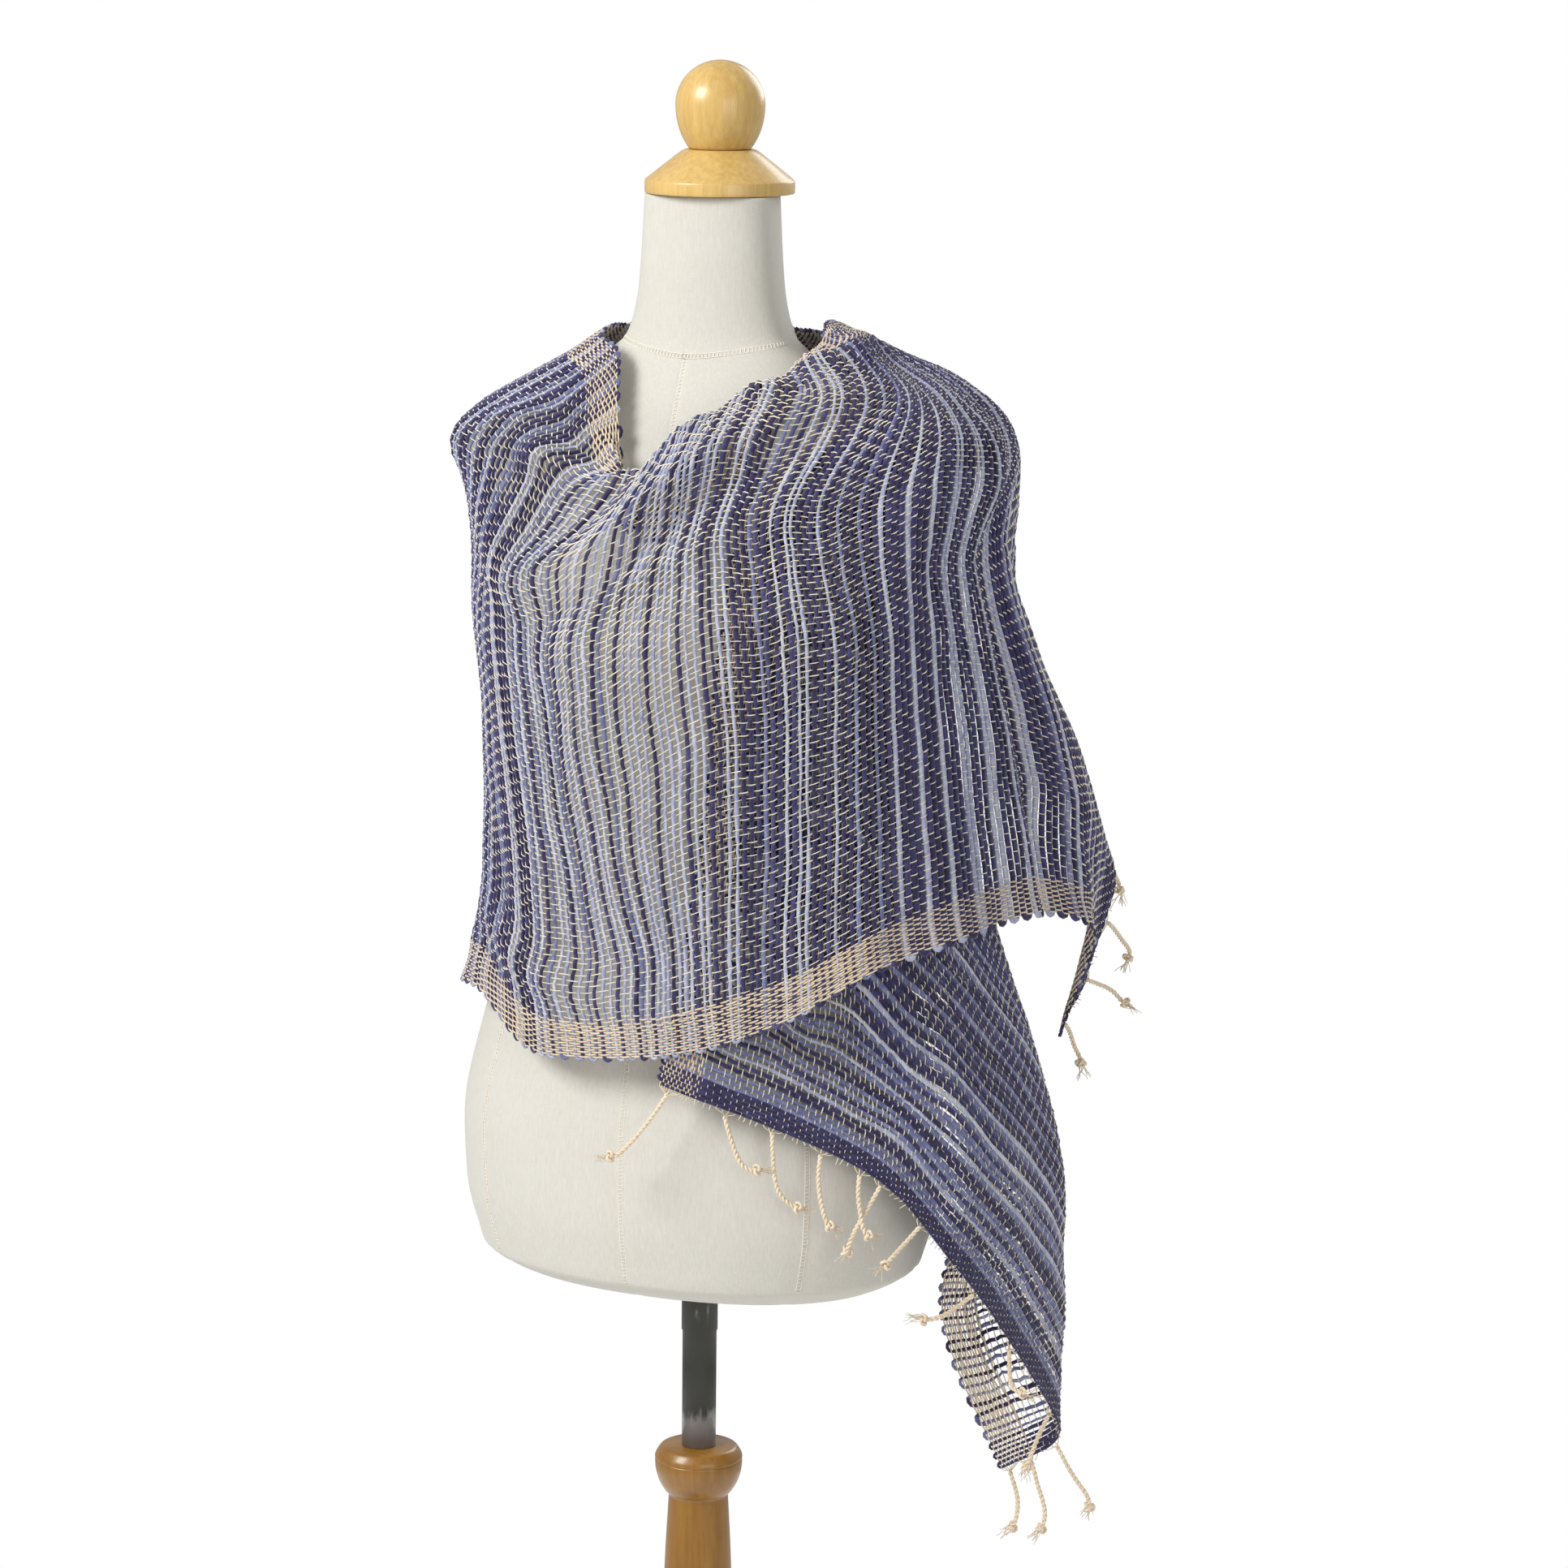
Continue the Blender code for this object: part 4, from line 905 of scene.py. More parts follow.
def tubes(points, normals, wide, thick, sides, row_length=None):
    """Vertices, faces, face UVs and yarn coordinates of closed tubes.

    points and normals hold rows of centre points. A long row is cut into UV strips of
    row_length rings each.
    """
    rows, count = points.shape[:2]
    tangent = unit(np.gradient(points, axis=1))
    normal = unit(normals - tangent * (normals * tangent).sum(-1, keepdims=True))
    side = np.cross(tangent, normal)
    turn = np.arange(sides) * 2 * np.pi / sides
    ring = (
        points[:, :, None]
        + side[:, :, None] * (wide[:, :, None] * np.cos(turn))[..., None]
        + normal[:, :, None] * (thick[:, :, None] * np.sin(turn))[..., None]
    )
    steps = np.linalg.norm(np.diff(points, axis=1), axis=-1)
    run = np.concatenate([np.zeros((rows, 1)), np.cumsum(steps, axis=1)], axis=1)
    place = np.empty(ring.shape)
    place[..., 0] = np.cos(turn)
    place[..., 1] = np.sin(turn)
    place[..., 2] = run[:, :, None]
    first = np.arange(rows * count).reshape(rows, count)[:, :-1].reshape(-1, 1) * sides
    quads = side_faces(first, sides)
    strip = row_length or count - 1
    step = np.tile(np.arange(count - 1), rows)
    row = np.repeat(np.arange(rows), count - 1) * math.ceil((count - 1) / strip) + step // strip
    strips = int(row.max()) + 1
    u = (step % strip)[:, None] / strip + np.zeros((1, sides))
    v = (row[:, None] + np.arange(sides)[None, :] / sides * STRIP_FILL) / strips
    du, dv = 1.0 / strip, STRIP_FILL / sides / strips
    uvs = np.stack([
        np.stack([u, v], -1), np.stack([u, v + dv], -1),
        np.stack([u + du, v + dv], -1), np.stack([u + du, v], -1),
    ], axis=2)
    starts = (np.arange(rows) * count * sides)[:, None] + np.arange(sides)[::-1]
    ends = (np.arange(1, rows + 1) * count * sides - sides)[:, None] + np.arange(sides)
    return {
        "points": ring.reshape(-1, 3),
        "place": place.reshape(-1, 3),
        "quads": quads.reshape(-1, 4),
        "uvs": uvs.reshape(-1, 4, 2),
        "caps": np.concatenate([starts, ends]),
    }


UV_MARGIN = 0.01
UV_SPAN = 0.98


def all_of(parts, key):
    return np.concatenate([part[key] for part in parts])


def fill(rows, field, values, kind=np.int32):
    """Write a whole array into one field of Blender's rows."""
    rows.foreach_set(field, values.astype(kind).reshape(-1))


def joined_mesh(name, parts):
    """One mesh from sets of tubes, each with its dye, its slot and a UV band of its own."""
    mesh = bpy.data.meshes.new(name)
    vertices = all_of(parts, "points")
    loops, totals, slots, uvs = [], [], [], []
    bands = np.cumsum([0] + [len(part["quads"]) for part in parts])
    bands = UV_MARGIN + UV_SPAN * bands / bands[-1]
    base = 0
    for part, low, high in zip(parts, bands, bands[1:]):
        scale = np.array((UV_SPAN, (high - low) * UV_SPAN))
        for faces, face_uvs in ((part["quads"], part["uvs"]), (part["caps"], None)):
            loops.append((faces + base).reshape(-1))
            totals.append(np.full(len(faces), faces.shape[1]))
            slots.append(np.full(len(faces), part["slot"]))
            if face_uvs is None:
                face_uvs = np.zeros((faces.size, 2))
            uvs.append(face_uvs.reshape(-1, 2) * scale + (UV_MARGIN, low))
        base += len(part["points"])
    loops, totals = np.concatenate(loops), np.concatenate(totals)
    mesh.vertices.add(len(vertices))
    fill(mesh.vertices, "co", vertices, np.float32)
    mesh.loops.add(len(loops))
    fill(mesh.loops, "vertex_index", loops)
    mesh.polygons.add(len(totals))
    fill(mesh.polygons, "loop_start", np.cumsum(totals) - totals)
    fill(mesh.polygons, "loop_total", totals)
    fill(mesh.polygons, "material_index", np.concatenate(slots))
    fill(mesh.polygons, "use_smooth", np.ones(len(totals)), bool)
    mesh.update(calc_edges=True)
    bake = mesh.uv_layers.new(name="OFBake")
    fill(bake.data, "uv", np.concatenate(uvs), np.float32)
    dye = mesh.attributes.new("dye", "FLOAT", "POINT")
    fill(dye.data, "value", all_of(parts, "dye"), np.float32)
    yarn = mesh.attributes.new("yarn", "FLOAT_VECTOR", "POINT")
    fill(yarn.data, "vector", all_of(parts, "place"), np.float32)
    return mesh


def triangles_in(mesh):
    return sum(len(polygon.vertices) - 2 for polygon in mesh.polygons)


def add_piece(name, mesh, materials, node):
    """An object that rides with the frame, and stands for a solid where a node is named."""
    for finish in materials:
        mesh.materials.append(finish)
    piece = bpy.data.objects.new(name, mesh)
    bpy.context.scene.collection.objects.link(piece)
    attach(piece, "root")
    if node:
        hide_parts(node)
    return piece


# %% [markdown]
# In plain weave each warp end goes over one pick and under the next, and its neighbour
# does the opposite. The thin warp does most of the bending: it climbs over the thick weft,
# which dips only a little. The weft is one long yarn that turns back in a small loop at
# each long edge, so a stretch of cloth is one serpentine tube. Where two layers of the real
# shawl lie close and no gap shows, each pick is widened towards its neighbour instead.

# %% Weave one stretch
WEFT_SIDES = 5
WARP_SIDES = 3
WEFT_WIDE = 1.50 * MM
WEFT_THICK = 1.15 * MM
WARP_RADIUS = 0.45 * MM
BORDER_WARP_RADIUS = 0.76 * MM
WEFT_DIP = 0.30 * MM
LOOP_REACH = 2.4 * MM
LOOP_TURNS = np.radians((-50.0, 0.0, 50.0))
dye_size = np.interp(pick_dyes_and_shade, (0.1, 0.9), (1.08, 0.84))[:, None]
spacing = np.linalg.norm(along_cloth, axis=-1)
TAIL_COVER_LINES = (0.25, 0.5, 2.2, 3.6)
TAIL_COVER = (0.0, 0.88, 0.84, 0.0)
TAIL_COVER_ACROSS = (0.30, 0.48, 0.84, 0.92)
TAIL_COVER_SHARES = (0.0, 1.0, 1.0, 0.0)
FLAP_COVER_LINES = (21.6, 22.4, 25.4, 26.0)
FLAP_COVER = (0.0, 0.96, 0.88, 0.78)
FLAP_COVER_ACROSS = (0.20, 0.34)
FLAP_COVER_SHARES = (0.0, 1.0)
WIDEST = 2.9 * MM
BORDER_SQUEEZE = 0.85
PACKED_LEAST = 0.75
CLIMB_SHARE = 0.8
WARP_UNEVEN = 0.12
tail_cover = np.interp(grid_lines, TAIL_COVER_LINES, TAIL_COVER)
tail_cover = tail_cover * np.interp(grid_across, TAIL_COVER_ACROSS, TAIL_COVER_SHARES)
flap_cover = np.interp(grid_lines, FLAP_COVER_LINES, FLAP_COVER)
flap_cover = flap_cover * np.interp(grid_across, FLAP_COVER_ACROSS, FLAP_COVER_SHARES)
least_wide = np.minimum(spacing * (tail_cover + flap_cover) / 2, WIDEST)
squeeze = np.where(from_edge < BORDER_ENDS, BORDER_SQUEEZE, 1.0)[None, :]
weft_wide = np.clip(WEFT_WIDE * slub * dye_size * squeeze, least_wide, None)
weft_thick = WEFT_THICK * slub * dye_size * squeeze


def weft_part(first, last):
    """The weft from one pick to another as a single yarn that turns at the edges."""
    centre = crossings[first:last] - outward[first:last] * (WEFT_DIP * over[first:last])[..., None]
    normal = outward[first:last].copy()
    wide, thick = weft_wide[first:last].copy(), weft_thick[first:last].copy()
    # The weft's dye carries the painted shade of the stripe table's long dark runs.
    dye = np.repeat(pick_dyes_and_shade[first:last, None], ENDS, axis=1)
    for rows in (centre, normal, wide, thick, dye):
        rows[1::2] = rows[1::2, ::-1].copy()
    edge, inner = centre[:, -1], centre[:, -3]
    next_edge = np.concatenate([centre[1:, 0], 2 * centre[-1:, -1] - centre[-2:-1, 0]])
    out = unit(edge - inner)
    middle, half = (edge + next_edge) / 2, (next_edge - edge) / 2
    bends = [
        middle + out * LOOP_REACH * math.cos(turn) + half * math.sin(turn) for turn in LOOP_TURNS
    ]
    loop = np.stack(bends, axis=1)

    def tail(rows):
        return np.repeat(rows[:, -1:], len(LOOP_TURNS), axis=1)

    def in_line(rows, extra):
        whole = np.concatenate([rows, extra], axis=1)
        return whole.reshape((1, -1) + whole.shape[2:])

    rings = ENDS + len(LOOP_TURNS)
    part = tubes(
        in_line(centre, loop), in_line(normal, tail(normal)), in_line(wide, tail(wide)),
        in_line(thick, tail(thick)), WEFT_SIDES, rings,
    )
    part["dye"] = np.repeat(in_line(dye, tail(dye))[0], WEFT_SIDES)
    part["slot"] = 0
    return part


def warp_part(first, last):
    """The warp ends over the same picks, each bending over and under."""
    climb = weft_thick[first:last] - WEFT_DIP + WARP_RADIUS * CLIMB_SHARE
    rise = over[first:last] * climb
    centre = crossings[first:last] + outward[first:last] * rise[..., None]
    centre, normal = centre.transpose(1, 0, 2), outward[first:last].transpose(1, 0, 2)
    size = np.where(from_edge < BORDER_ENDS, BORDER_WARP_RADIUS, WARP_RADIUS)
    picks = np.arange(first, last)
    packed = np.clip(np.minimum(picks, PICKS - 1 - picks) / END_PICKS, PACKED_LEAST, 1.0)
    uneven_by = 1.0 + WARP_UNEVEN * wander(ENDS, last - first, 5)
    radius = size[:, None] * packed[None, :] * uneven_by
    part = tubes(centre, normal, radius, radius, WARP_SIDES)
    in_middle = (from_edge >= BORDER_ENDS).astype(float)
    part["dye"] = np.repeat(in_middle, (last - first) * WARP_SIDES)
    part["slot"] = 1
    return part


# %% [markdown]
# The shawl's solids are five stretches. The hanging end is long, so it is woven as two
# pieces. Neighbouring stretches share a pick's gap, so the weave runs on with no seam.

# %% The six woven pieces
WOVEN = (
    ("woven_tail_end", "shawl_tail", 0.0, 2.6),
    ("woven_tail_chest", "shawl_tail", 2.6, 6.0),
    ("woven_back", "shawl_back", 6.0, 12.0),
    ("woven_side", "shawl_side", 12.0, 16.0),
    ("woven_front", "shawl_front", 16.0, 23.0),
    ("woven_over_shoulder", "shawl_over_shoulder", 23.0, 26.0),
)
total = 0
for name, node, start, end in WOVEN:
    first, last = np.searchsorted(pick_lines, (start, end))
    last = PICKS if end >= LAST_LINE else last
    weft = weft_part(first, last)
    warp = warp_part(first, min(last + 1, PICKS))
    mesh = joined_mesh(name, [weft, warp])
    piece = add_piece(name, mesh, (weft_material, warp_material), node)
    total += triangles_in(mesh)
    print(name, "picks", last - first, "triangles", triangles_in(mesh))
print("Woven triangles:", total)

# %% [markdown]
# The warp ends are cut long and twisted in bundles into cords, each stopped by an
# overhand knot with a frayed tip below it. A cord is two plies wound round each other; the
# knot is a small trefoil curve; the fray is a few thin strands that part from each other.

# %% Places of the tassels
TASSEL_COLUMNS = ("across", "x", "y", "z")
TAIL_TASSELS = (
    (0.02, -0.039, -0.018, -0.042),
    (0.13, 0.029, 0.010, -0.035),
    (0.22, 0.026, 0.008, -0.050),
    (0.32, 0.014, 0.002, -0.048),
    (0.40, 0.013, 0.002, -0.041),
    (0.44, -0.018, -0.012, -0.046),
    (0.53, -0.014, -0.026, -0.022),
    (0.66, -0.030, -0.022, -0.012),
    (0.76, 0.022, -0.012, -0.026),
    (0.86, -0.010, -0.014, -0.036),
    (0.92, 0.020, 0.010, -0.045),
    (0.96, 0.003, 0.002, -0.050),
    (0.99, -0.003, -0.002, -0.042),
)
END_TASSELS = (
    (0.02, -0.016, 0.030, -0.036),
    (0.11, -0.014, 0.030, -0.038),
    (0.20, -0.012, 0.032, -0.036),
    (0.29, -0.010, 0.030, -0.040),
    (0.38, -0.008, 0.032, -0.036),
    (0.47, -0.008, 0.030, -0.040),
    (0.56, -0.006, 0.032, -0.036),
    (0.65, -0.004, 0.030, -0.038),
    (0.74, -0.002, 0.030, -0.036),
    (0.83, 0.002, 0.030, -0.036),
    (0.91, 0.022, 0.026, -0.024),
    (0.98, 0.006, 0.020, -0.040),
)
ROOT_AWAY = 3.6 * MM
ROOT_STIFFNESS = 1.2
KNOT_SHARE = 0.79
FRAY_SHARE = 0.84

# %% One twisted cord
PLY_RADIUS = 0.98 * MM
PLY_APART = 0.82 * MM
PLY_TURN = 7.0 * MM
KNOT_SIZE = 1.25 * MM
FRAY_STRANDS = 10
FRAY_LENGTH = 13.0 * MM
FRAY_POINTS = 9
FRAY_SPREAD = 2.6
FRAY_CURL = 1.0
FRAY_RADIUS = 0.27 * MM
CORD_POINTS = 64
CORD_SIDES = 6
CORD_WAVES = 9.0
CORD_PHASE = 300.0
CORD_WAVE = 0.5
KNOT_POINTS = 34
FINE_SIDES = 3
GATHER_REACH = 10.5 * MM
STUB_LENGTH = 3.5 * MM
GATHER_START, STUB_START = 2.2, 1.6


def frames_along(path):
    """Two directions square to a path, carried along it without twisting."""
    tangent = unit(np.gradient(path, axis=0))
    side = np.cross(tangent[0], (0.3, 0.2, 1.0))
    sides = []
    for direction in tangent:
        side = unit(side - direction * side.dot(direction))
        sides.append(side)
    sides = np.array(sides)
    return sides, np.cross(tangent, sides)


def strand(path, radius, sides):
    """A tube along one path."""
    a, _ = frames_along(path)
    size = np.broadcast_to(radius, len(path))[None].astype(float)
    part = tubes(path[None], a[None], size, size, sides)
    part.update(dye=np.ones(len(part["points"])), slot=0)
    return part


def twisted_cord(root, heading, reach):
    """The plies, knot and fray of one tassel."""
    length = float(np.linalg.norm(reach))
    share = np.linspace(0.0, 1.0, CORD_POINTS)[:, None]
    path = root + heading * length * share * (1.0 - share) * ROOT_STIFFNESS + reach * share
    path = path + np.sin(share * CORD_WAVES + root[0] * CORD_PHASE) * CORD_WAVE * MM
    a, b = frames_along(path)
    run = lengths_of(path)
    knot = int(KNOT_SHARE * len(path))
    body = slice(0, int(FRAY_SHARE * len(path)))
    parts = []
    for start in (0.0, math.pi):
        angle = (run / PLY_TURN * 2 * math.pi + start)[:, None]
        ply = path + (a * np.cos(angle) + b * np.sin(angle)) * PLY_APART
        parts.append(strand(ply[body], PLY_RADIUS, CORD_SIDES))
    turn = np.linspace(0.0, 2 * math.pi, KNOT_POINTS)[:, None]
    trefoil = (
        a[knot] * (np.sin(turn) + 2 * np.sin(2 * turn))
        + b[knot] * (np.cos(turn) - 2 * np.cos(2 * turn))
        - np.cross(a[knot], b[knot]) * np.sin(3 * turn) * 1.3
    )
    parts.append(strand(path[knot] + trefoil * KNOT_SIZE, PLY_RADIUS * 1.1, CORD_SIDES))
    down = np.cross(a[knot], b[knot])
    open_share = np.linspace(0.0, 1.0, FRAY_POINTS)[:, None]
    for _ in range(FRAY_STRANDS):
        spread_by = random.normal(0.0, 1.0, 2) * FRAY_SPREAD * MM
        curl = random.normal(0.0, 1.0, 2) * FRAY_CURL * MM
        away = a[knot] * spread_by[0] + b[knot] * spread_by[1]
        bend = a[knot] * curl[0] + b[knot] * curl[1]
        reach_down = down * FRAY_LENGTH * random.uniform(0.6, 1.0)
        hair = path[knot] + (reach_down + away) * open_share + bend * np.sin(open_share * 5.0)
        parts.append(strand(hair, FRAY_RADIUS, FINE_SIDES))
    return parts


# %% Both fringes
EDGE_POINTS = 97
INNER_LINE = 0.2


def fringe(name, node, line, inner_line, last_pick, tassels):
    """Warp ends gathered into cords along one short end."""
    places = np.linspace(0.0, 1.0, EDGE_POINTS)
    edge = cloth_at(np.full(EDGE_POINTS, line), places)
    inside = cloth_at(np.full(EDGE_POINTS, inner_line), places)
    tangent = unit(np.gradient(edge, axis=0))
    heading = edge - inside
    heading = unit(heading - tangent * (heading * tangent).sum(-1, keepdims=True))

    def at(rows, place):
        return np.array([np.interp(place, places, rows[:, k]) for k in range(3)])

    parts = []
    roots = []
    for row in tassels:
        tassel = dict(zip(TASSEL_COLUMNS, row))
        out = at(heading, tassel["across"])
        root = at(edge, tassel["across"]) + out * ROOT_AWAY
        roots.append(root)
        parts += twisted_cord(root, out, np.array([tassel[axis] for axis in "xyz"]))
    centres = np.array([row[0] for row in tassels])
    for end in range(ENDS):
        place = grid_across[last_pick, end]
        nearest = int(np.abs(centres - place).argmin())
        start = crossings[last_pick, end]
        out = at(heading, place)
        jitter = random.normal(0.0, 0.6, 3) * MM
        near = np.linalg.norm(roots[nearest] - start) < GATHER_REACH
        goal = roots[nearest] if near else start + out * STUB_LENGTH + jitter
        first_step = out * (GATHER_START if near else STUB_START) * MM
        stops = np.stack([start, start + first_step, goal + jitter])
        bend = rounded(stops, np.linspace(0.0, 2.0, 7))
        parts.append(strand(bend, WARP_RADIUS * 0.9, FINE_SIDES))
    mesh = joined_mesh(name, parts)
    print(name, "cords", len(tassels), "triangles", triangles_in(mesh))
    add_piece(name, mesh, (cord_material,), node)


fringe("knotted_fringe_tail", "fringe_tail", 0.0, INNER_LINE, 0, TAIL_TASSELS)
fringe(
    "knotted_fringe_end", "fringe_end", float(LAST_LINE), LAST_LINE - INNER_LINE, PICKS - 1,
    END_TASSELS,
)

# %% [markdown]
# The form is padded and covered in off-white cotton. Its cover is cut in panels that meet
# in laced seams: down the middle, down each side front and back, and round the neck. The
# cover is one smooth loft through the sections, with a shallow groove where a seam runs.

# %% Cover finish
COVER_LIGHT = (0.600, 0.580, 0.520)
COVER_SHADE = (0.525, 0.505, 0.445)


def cover_finish():
    cover = Finish("Cotton form cover", Roughness=0.9, Sheen_Weight=0.15)
    place = cover.node("ShaderNodeTexCoord", {}, {}, 3)
    threads = cover.noise(cover.stretched(place, (1.0, 1.0, 0.12)), 900.0, 2.0)
    rows = cover.noise(cover.stretched(place, (0.25, 0.25, 1.0)), 1100.0, 1.0)
    clouds = cover.noise(place, 9.0, 3.0)
    mask = (threads * 0.5 + rows * 0.2 + clouds * 0.3).above(0.5, 0.5)
    colour = cover.blend(mask, COVER_SHADE, COVER_LIGHT)
    return cover.finish(colour, normal=cover.bump(threads + rows, 0.25, 0.3 * MM))


cover_material = cover_finish()
thread_material = cream_finish("Seam thread", (0.90, 0.86, 0.76), (0.74, 0.68, 0.56))

# %% The covered body
BODY_SIDES = 120
BODY_STEP = 0.008
UNDER_CURVE = (
    (0.030, 0.0160), (0.021, 0.0142), (0.014, 0.0110), (0.0085, 0.0080), (0.004, 0.005),
    (0.001, 0.0022),
)
SEAM_ANGLES = (0.0, 54.0, 96.0, 134.0, 180.0, 226.0, 264.0, 306.0)
SEAM_DEPTH = 0.9 * MM
SEAM_WIDTH = 2.2 * MM
NECK_SEAM_HEIGHT = 1.434
SEAM_TOPS = (1.432, 1.345, 1.350, 1.345, 1.432, 1.345, 1.350, 1.345)
NECK_SEAM_TILT = 0.010


def body_reach(angle, height):
    """The form's reach, drawn in a little along its seams."""
    reach = reach_of(FORM_SECTIONS, angle, height)
    groove = np.zeros(np.shape(reach))
    for seam, top in zip(SEAM_ANGLES, SEAM_TOPS):
        away = (np.asarray(angle) - seam + 180.0) % 360.0 - 180.0
        depth = np.exp(-((np.radians(away) * reach / SEAM_WIDTH) ** 2))
        groove = np.maximum(groove, np.where(np.asarray(height) < top, depth, 0.0))
    return reach - groove * SEAM_DEPTH


def form_body():
    """Rings of the form from its underside to its neck."""
    heights = np.arange(FORM_SECTIONS[0][0], FORM_SECTIONS[-1][0], BODY_STEP)
    heights = np.append(heights, FORM_SECTIONS[-1][0])
    angles = np.arange(BODY_SIDES) * 360.0 / BODY_SIDES
    lowest = heights[0]
    rings = [
        placed(angles, lowest - drop, body_reach(angles, np.full(BODY_SIDES, lowest)) - inset)
        for inset, drop in UNDER_CURVE
    ]
    for height in heights:
        rings.append(placed(angles, height, body_reach(angles, np.full(BODY_SIDES, height))))
    return np.array(rings)


def ring_mesh(name, rings):
    """A closed body through rings of points, with a cap at each end."""
    count, sides = rings.shape[:2]
    quads = side_faces((np.arange(count - 1) * sides)[:, None], sides)
    faces = quads.reshape(-1, 4).tolist()
    faces.append(list(range(sides))[::-1])
    faces.append(list(range((count - 1) * sides, count * sides)))
    mesh = bpy.data.meshes.new(name)
    mesh.from_pydata(rings.reshape(-1, 3).tolist(), [], faces)
    mesh.shade_smooth()
    return mesh


body_rings = form_body()
cover_piece = add_piece(
    "form_cover", ring_mesh("form_cover", body_rings), (cover_material,), "form_torso"
)
print("Cover triangles:", triangles_in(cover_piece.data))

# %% [markdown]
# The laced seams are a pair of fine rails with rungs between them, like a ladder. They are
# real threads here, half sunk in the cover, with their rungs every few millimetres.

# %% Laced seams
RAIL_APART = 1.5 * MM
RUNG_PITCH = 2.6 * MM
THREAD_RADIUS = 0.28 * MM
THREAD_LIFT = 0.25 * MM
THREAD_SIDES = 4
RUNG_REACH = 1.2
RUNG_BOW = 0.15
SEAM_FOOT = 0.8
SEAM_STEP = 0.006


def ladder(path):
    """Two rails and the rungs between them along a path on the cover."""
    total_length = lengths_of(path)[-1]
    count = int(total_length / RUNG_PITCH)
    stops = spread(path, np.linspace(0.0, 1.0, count))
    normal = body_normal(stops)
    side = unit(np.cross(unit(np.gradient(stops, axis=0)), normal))
    lifted = stops + normal * THREAD_LIFT
    parts = []
    for sign in (-1.0, 1.0):
        rail = (lifted + side * sign * RAIL_APART)[None]
        size = np.full((1, count), THREAD_RADIUS)
        parts.append(tubes(rail, normal[None], size, size, THREAD_SIDES))
    reach = np.array((-RUNG_REACH, 0.0, RUNG_REACH)) * RAIL_APART
    bow = np.array((0.0, RUNG_BOW, 0.0)) * MM
    crosswise = side[:, None] * reach[None, :, None]
    rungs = lifted[:, None] + crosswise + normal[:, None] * bow[None, :, None]
    size = np.full((count, 3), THREAD_RADIUS)
    parts.append(tubes(rungs, np.repeat(normal[:, None], 3, axis=1), size, size, THREAD_SIDES))
    for part in parts:
        part.update(dye=np.ones(len(part["points"])), slot=0)
    return parts


def body_normal(points):
    """Outward directions of the form at points on it."""
    angle = np.degrees(np.arctan2(points[:, 1], points[:, 0])) - FRONT_DEG
    height = points[:, 2]

    def at(turn, rise):
        return on_body(FORM_SECTIONS, angle + turn, height + rise)

    around = at(NEAR_TURN, 0.0) - at(-NEAR_TURN, 0.0)
    upward = at(0.0, NEAR_RISE) - at(0.0, -NEAR_RISE)
    return unit(np.cross(around, upward))


seam_parts = []
for seam, top in zip(SEAM_ANGLES, SEAM_TOPS):
    heights = np.arange(SEAM_FOOT, top, SEAM_STEP)
    reach = body_reach(np.full(len(heights), seam), heights)
    seam_parts += ladder(placed(np.full(len(heights), seam), heights, reach))
around = np.linspace(0.0, 360.0, 121)
tilt = -np.cos(np.radians(around)) * NECK_SEAM_TILT
seam_parts += ladder(on_body(FORM_SECTIONS, around, NECK_SEAM_HEIGHT + tilt))
seam_mesh = joined_mesh("laced_seams", seam_parts)
add_piece("laced_seams", seam_mesh, (thread_material,), None)
print("Seam triangles:", triangles_in(seam_mesh))

# %% [markdown]
# The stand is turned. A profile of radius and height is spun into a fine round mesh. The
# wood is varnished, with its grain upright: pale on the cap and the knob, and darker on the
# post and the base. This split is partly the wood's own tone and partly painted light: the
# post and the base are darkened as painted shade, for light that falls from above. The pole
# is dark steel, worn bright where it slides into the cup.

# %% Wood and steel finishes
# Painted light: the post and the base get a darker copy of the wood as painted shade, for light
# that falls from above. The paler copy on the cap and the knob is partly the wood's own tone and
# partly painted light.
SHADED_HONEY = (0.290, 0.135, 0.010)
SHADED_HONEY_DARK = (0.200, 0.085, 0.005)
LIT_PALE_HONEY = (0.680, 0.470, 0.155)
LIT_PALE_HONEY_DARK = (0.520, 0.320, 0.090)
STEEL = (0.040, 0.040, 0.032)
STEEL_WORN = (0.300, 0.300, 0.310)
WORN_BELOW = 0.678


def wood_finish(name, light, dark):
    wood = Finish(name, Coat_Weight=0.35, Coat_Roughness=0.18)
    place = wood.node("ShaderNodeTexCoord", {}, {}, 3)
    grain = wood.noise(wood.stretched(place, (1.0, 1.0, 0.06)), 260.0, 4.0, 0.6)
    bands = wood.noise(wood.stretched(place, (1.0, 1.0, 0.15)), 30.0, 2.0)
    pores = wood.noise(wood.stretched(place, (1.0, 1.0, 0.03)), 1400.0, 1.0).above(0.62, 0.1)
    mask = (grain * 0.6 + bands * 0.4).above(0.5, 0.45)
    colour = wood.blend(pores * 0.35, wood.blend(mask, dark, light), dark)
    return wood.finish(colour, grain * 0.2 + 0.28, wood.bump(grain + pores, 0.12, 0.3 * MM))


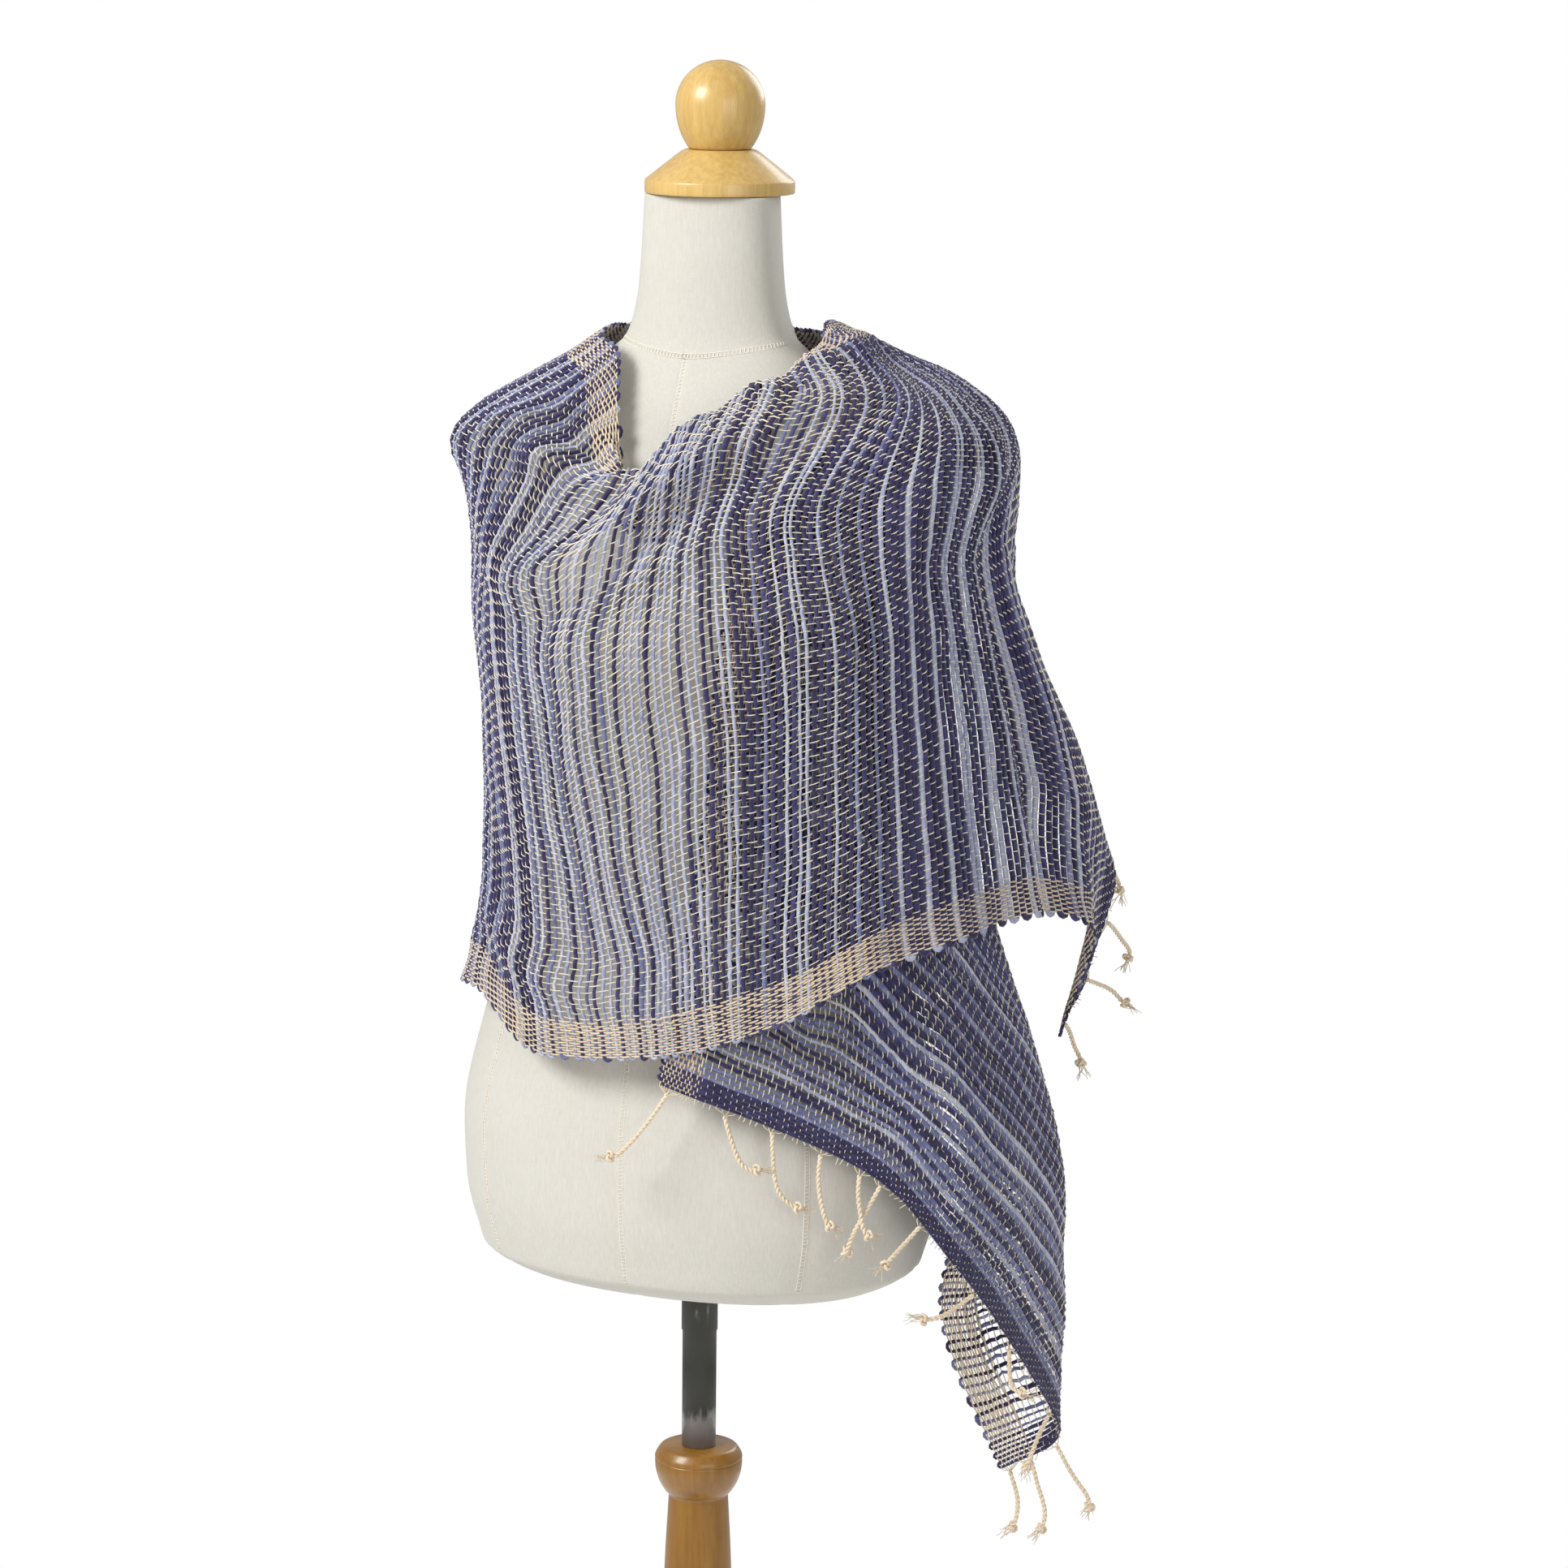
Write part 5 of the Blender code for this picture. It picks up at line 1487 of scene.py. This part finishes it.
def steel_finish():
    steel = Finish("Worn steel pole", Metallic=0.35)
    place = steel.node("ShaderNodeTexCoord", {}, {}, 3)
    height = steel.node("ShaderNodeSeparateXYZ", {}, {0: place}, 2)
    scratches = steel.noise(steel.stretched(place, (1.0, 1.0, 0.15)), 220.0, 4.0, 0.7)
    patches = steel.noise(place, 60.0, 3.0)
    low = 1.0 - height.above(WORN_BELOW, 0.03)
    worn = (low * 0.7 + (scratches - 0.5) * 1.3 + (patches - 0.5) * 1.2).above(0.50, 0.60)
    colour = steel.blend(worn, STEEL, STEEL_WORN)
    return steel.finish(colour, 0.55 - worn * 0.2, steel.bump(scratches, 0.15, 0.2 * MM))


# The darker wood of the post and the base is painted shade; the pale wood of the cap and the knob
# is partly painted light.
shaded_wood_material = wood_finish("Varnished wood in painted shade", SHADED_HONEY, SHADED_HONEY_DARK)
lit_pale_wood_material = wood_finish("Pale varnished wood with painted light", LIT_PALE_HONEY, LIT_PALE_HONEY_DARK)
steel_material = steel_finish()
print("Stand finishes:", shaded_wood_material.name, lit_pale_wood_material.name, steel_material.name)

# %% Profiles of the stand
TURN_SIDES = 128
GAP = 0.3 * MM
NECK_Y = 0.018
CAP_RIM = 1.5305
CAP_TOP = 1.5600
CAP_RADIUS = 0.051
CAP_TOP_RADIUS = 0.022
KNOB_TOP = 1.6200
KNOB_RADIUS = 0.0305
KNOB_START = math.radians(86)
KNOB_END = math.radians(46.5)
KNOB_RINGS = 24
FORM_UNDERSIDE = 0.784
POLE_RADIUS = 0.0120
POLE_COLLAR_RADIUS = 0.0127
COLLAR_FOOT = 0.737
CUP_TOP = 0.652
POST_PROFILE = (
    (0.0256, 0.6520), (0.0274, 0.6508), (0.0302, 0.6465), (0.0309, 0.6438), (0.0304, 0.6428),
    (0.0308, 0.6414), (0.0302, 0.6345), (0.0276, 0.6260), (0.0234, 0.6190), (0.0211, 0.6168),
    (0.0214, 0.6080), (0.0236, 0.5640), (0.0250, 0.500), (0.0250, 0.300), (0.0244, 0.160),
    (0.0236, 0.120), (0.0262, 0.108), (0.0340, 0.098), (0.0366, 0.086), (0.0340, 0.074),
    (0.0300, 0.068), (0.0330, 0.0523),
)
BASE_PROFILE = (
    (0.1200, 0.0520), (0.1440, 0.0480), (0.1600, 0.0420), (0.1650, 0.0370), (0.1720, 0.0350),
    (0.1880, 0.0290), (0.1980, 0.0200), (0.2000, 0.0120), (0.1985, 0.0030), (0.1955, 0.0000),
)

# %% Turned pieces
def turned(name, profile, centre_y, finish, node, slot, rounding):
    """A fine turned piece: its profile runs down the outer side."""
    rows = np.array(profile, float)
    rows = rounded(rows, np.linspace(0.0, len(rows) - 1.0, (len(rows) - 1) * rounding + 1))
    angles = np.arange(TURN_SIDES) * 360.0 / TURN_SIDES
    rings = np.array([placed(angles, height, radius) for radius, height in rows[::-1]])
    rings[..., 1] += centre_y
    return add_piece(name, ring_mesh(name, rings), (finish,), node)


cap_profile = (
    (CAP_TOP_RADIUS, CAP_TOP), (0.0270, 1.5582), (0.0470, 1.5425), (0.0500, 1.5400),
    (CAP_RADIUS, CAP_RIM + 0.008), (CAP_RADIUS, CAP_RIM + 0.001), (0.0500, CAP_RIM),
)
knob_foot = CAP_TOP + GAP
knob_middle = (KNOB_TOP + knob_foot) / 2
half_height = KNOB_TOP - knob_middle
knob_profile = []
for turn in np.linspace(KNOB_START, -KNOB_END, KNOB_RINGS):
    share = 1.0 if turn > 0 else math.sin(KNOB_END)
    height = knob_middle + math.sin(turn) * half_height / share
    knob_profile.append((KNOB_RADIUS * math.cos(turn), height))
pole_profile = (
    (POLE_COLLAR_RADIUS, FORM_UNDERSIDE - GAP), (POLE_COLLAR_RADIUS, 0.770),
    (POLE_COLLAR_RADIUS, COLLAR_FOOT), (POLE_RADIUS, COLLAR_FOOT - 0.0005),
    (POLE_RADIUS, 0.71), (POLE_RADIUS, CUP_TOP + GAP),
)
TURNED_PIECES = (
    ("turned_neck_cap", cap_profile, NECK_Y, lit_pale_wood_material, "neck_cap", "honey_wood", 4),
    ("turned_knob", knob_profile, NECK_Y, lit_pale_wood_material, "knob", "honey_wood", 2),
    ("steel_pole", pole_profile, 0.0, steel_material, "pole", "grey_steel", 1),
    ("turned_post", POST_PROFILE, 0.0, shaded_wood_material, "stand_post", "honey_wood", 4),
    ("turned_base", BASE_PROFILE, 0.0, shaded_wood_material, "stand_base", "honey_wood", 4),
)
for row in TURNED_PIECES:
    piece = turned(*row)
    print(piece.name, "triangles", triangles_in(piece.data))
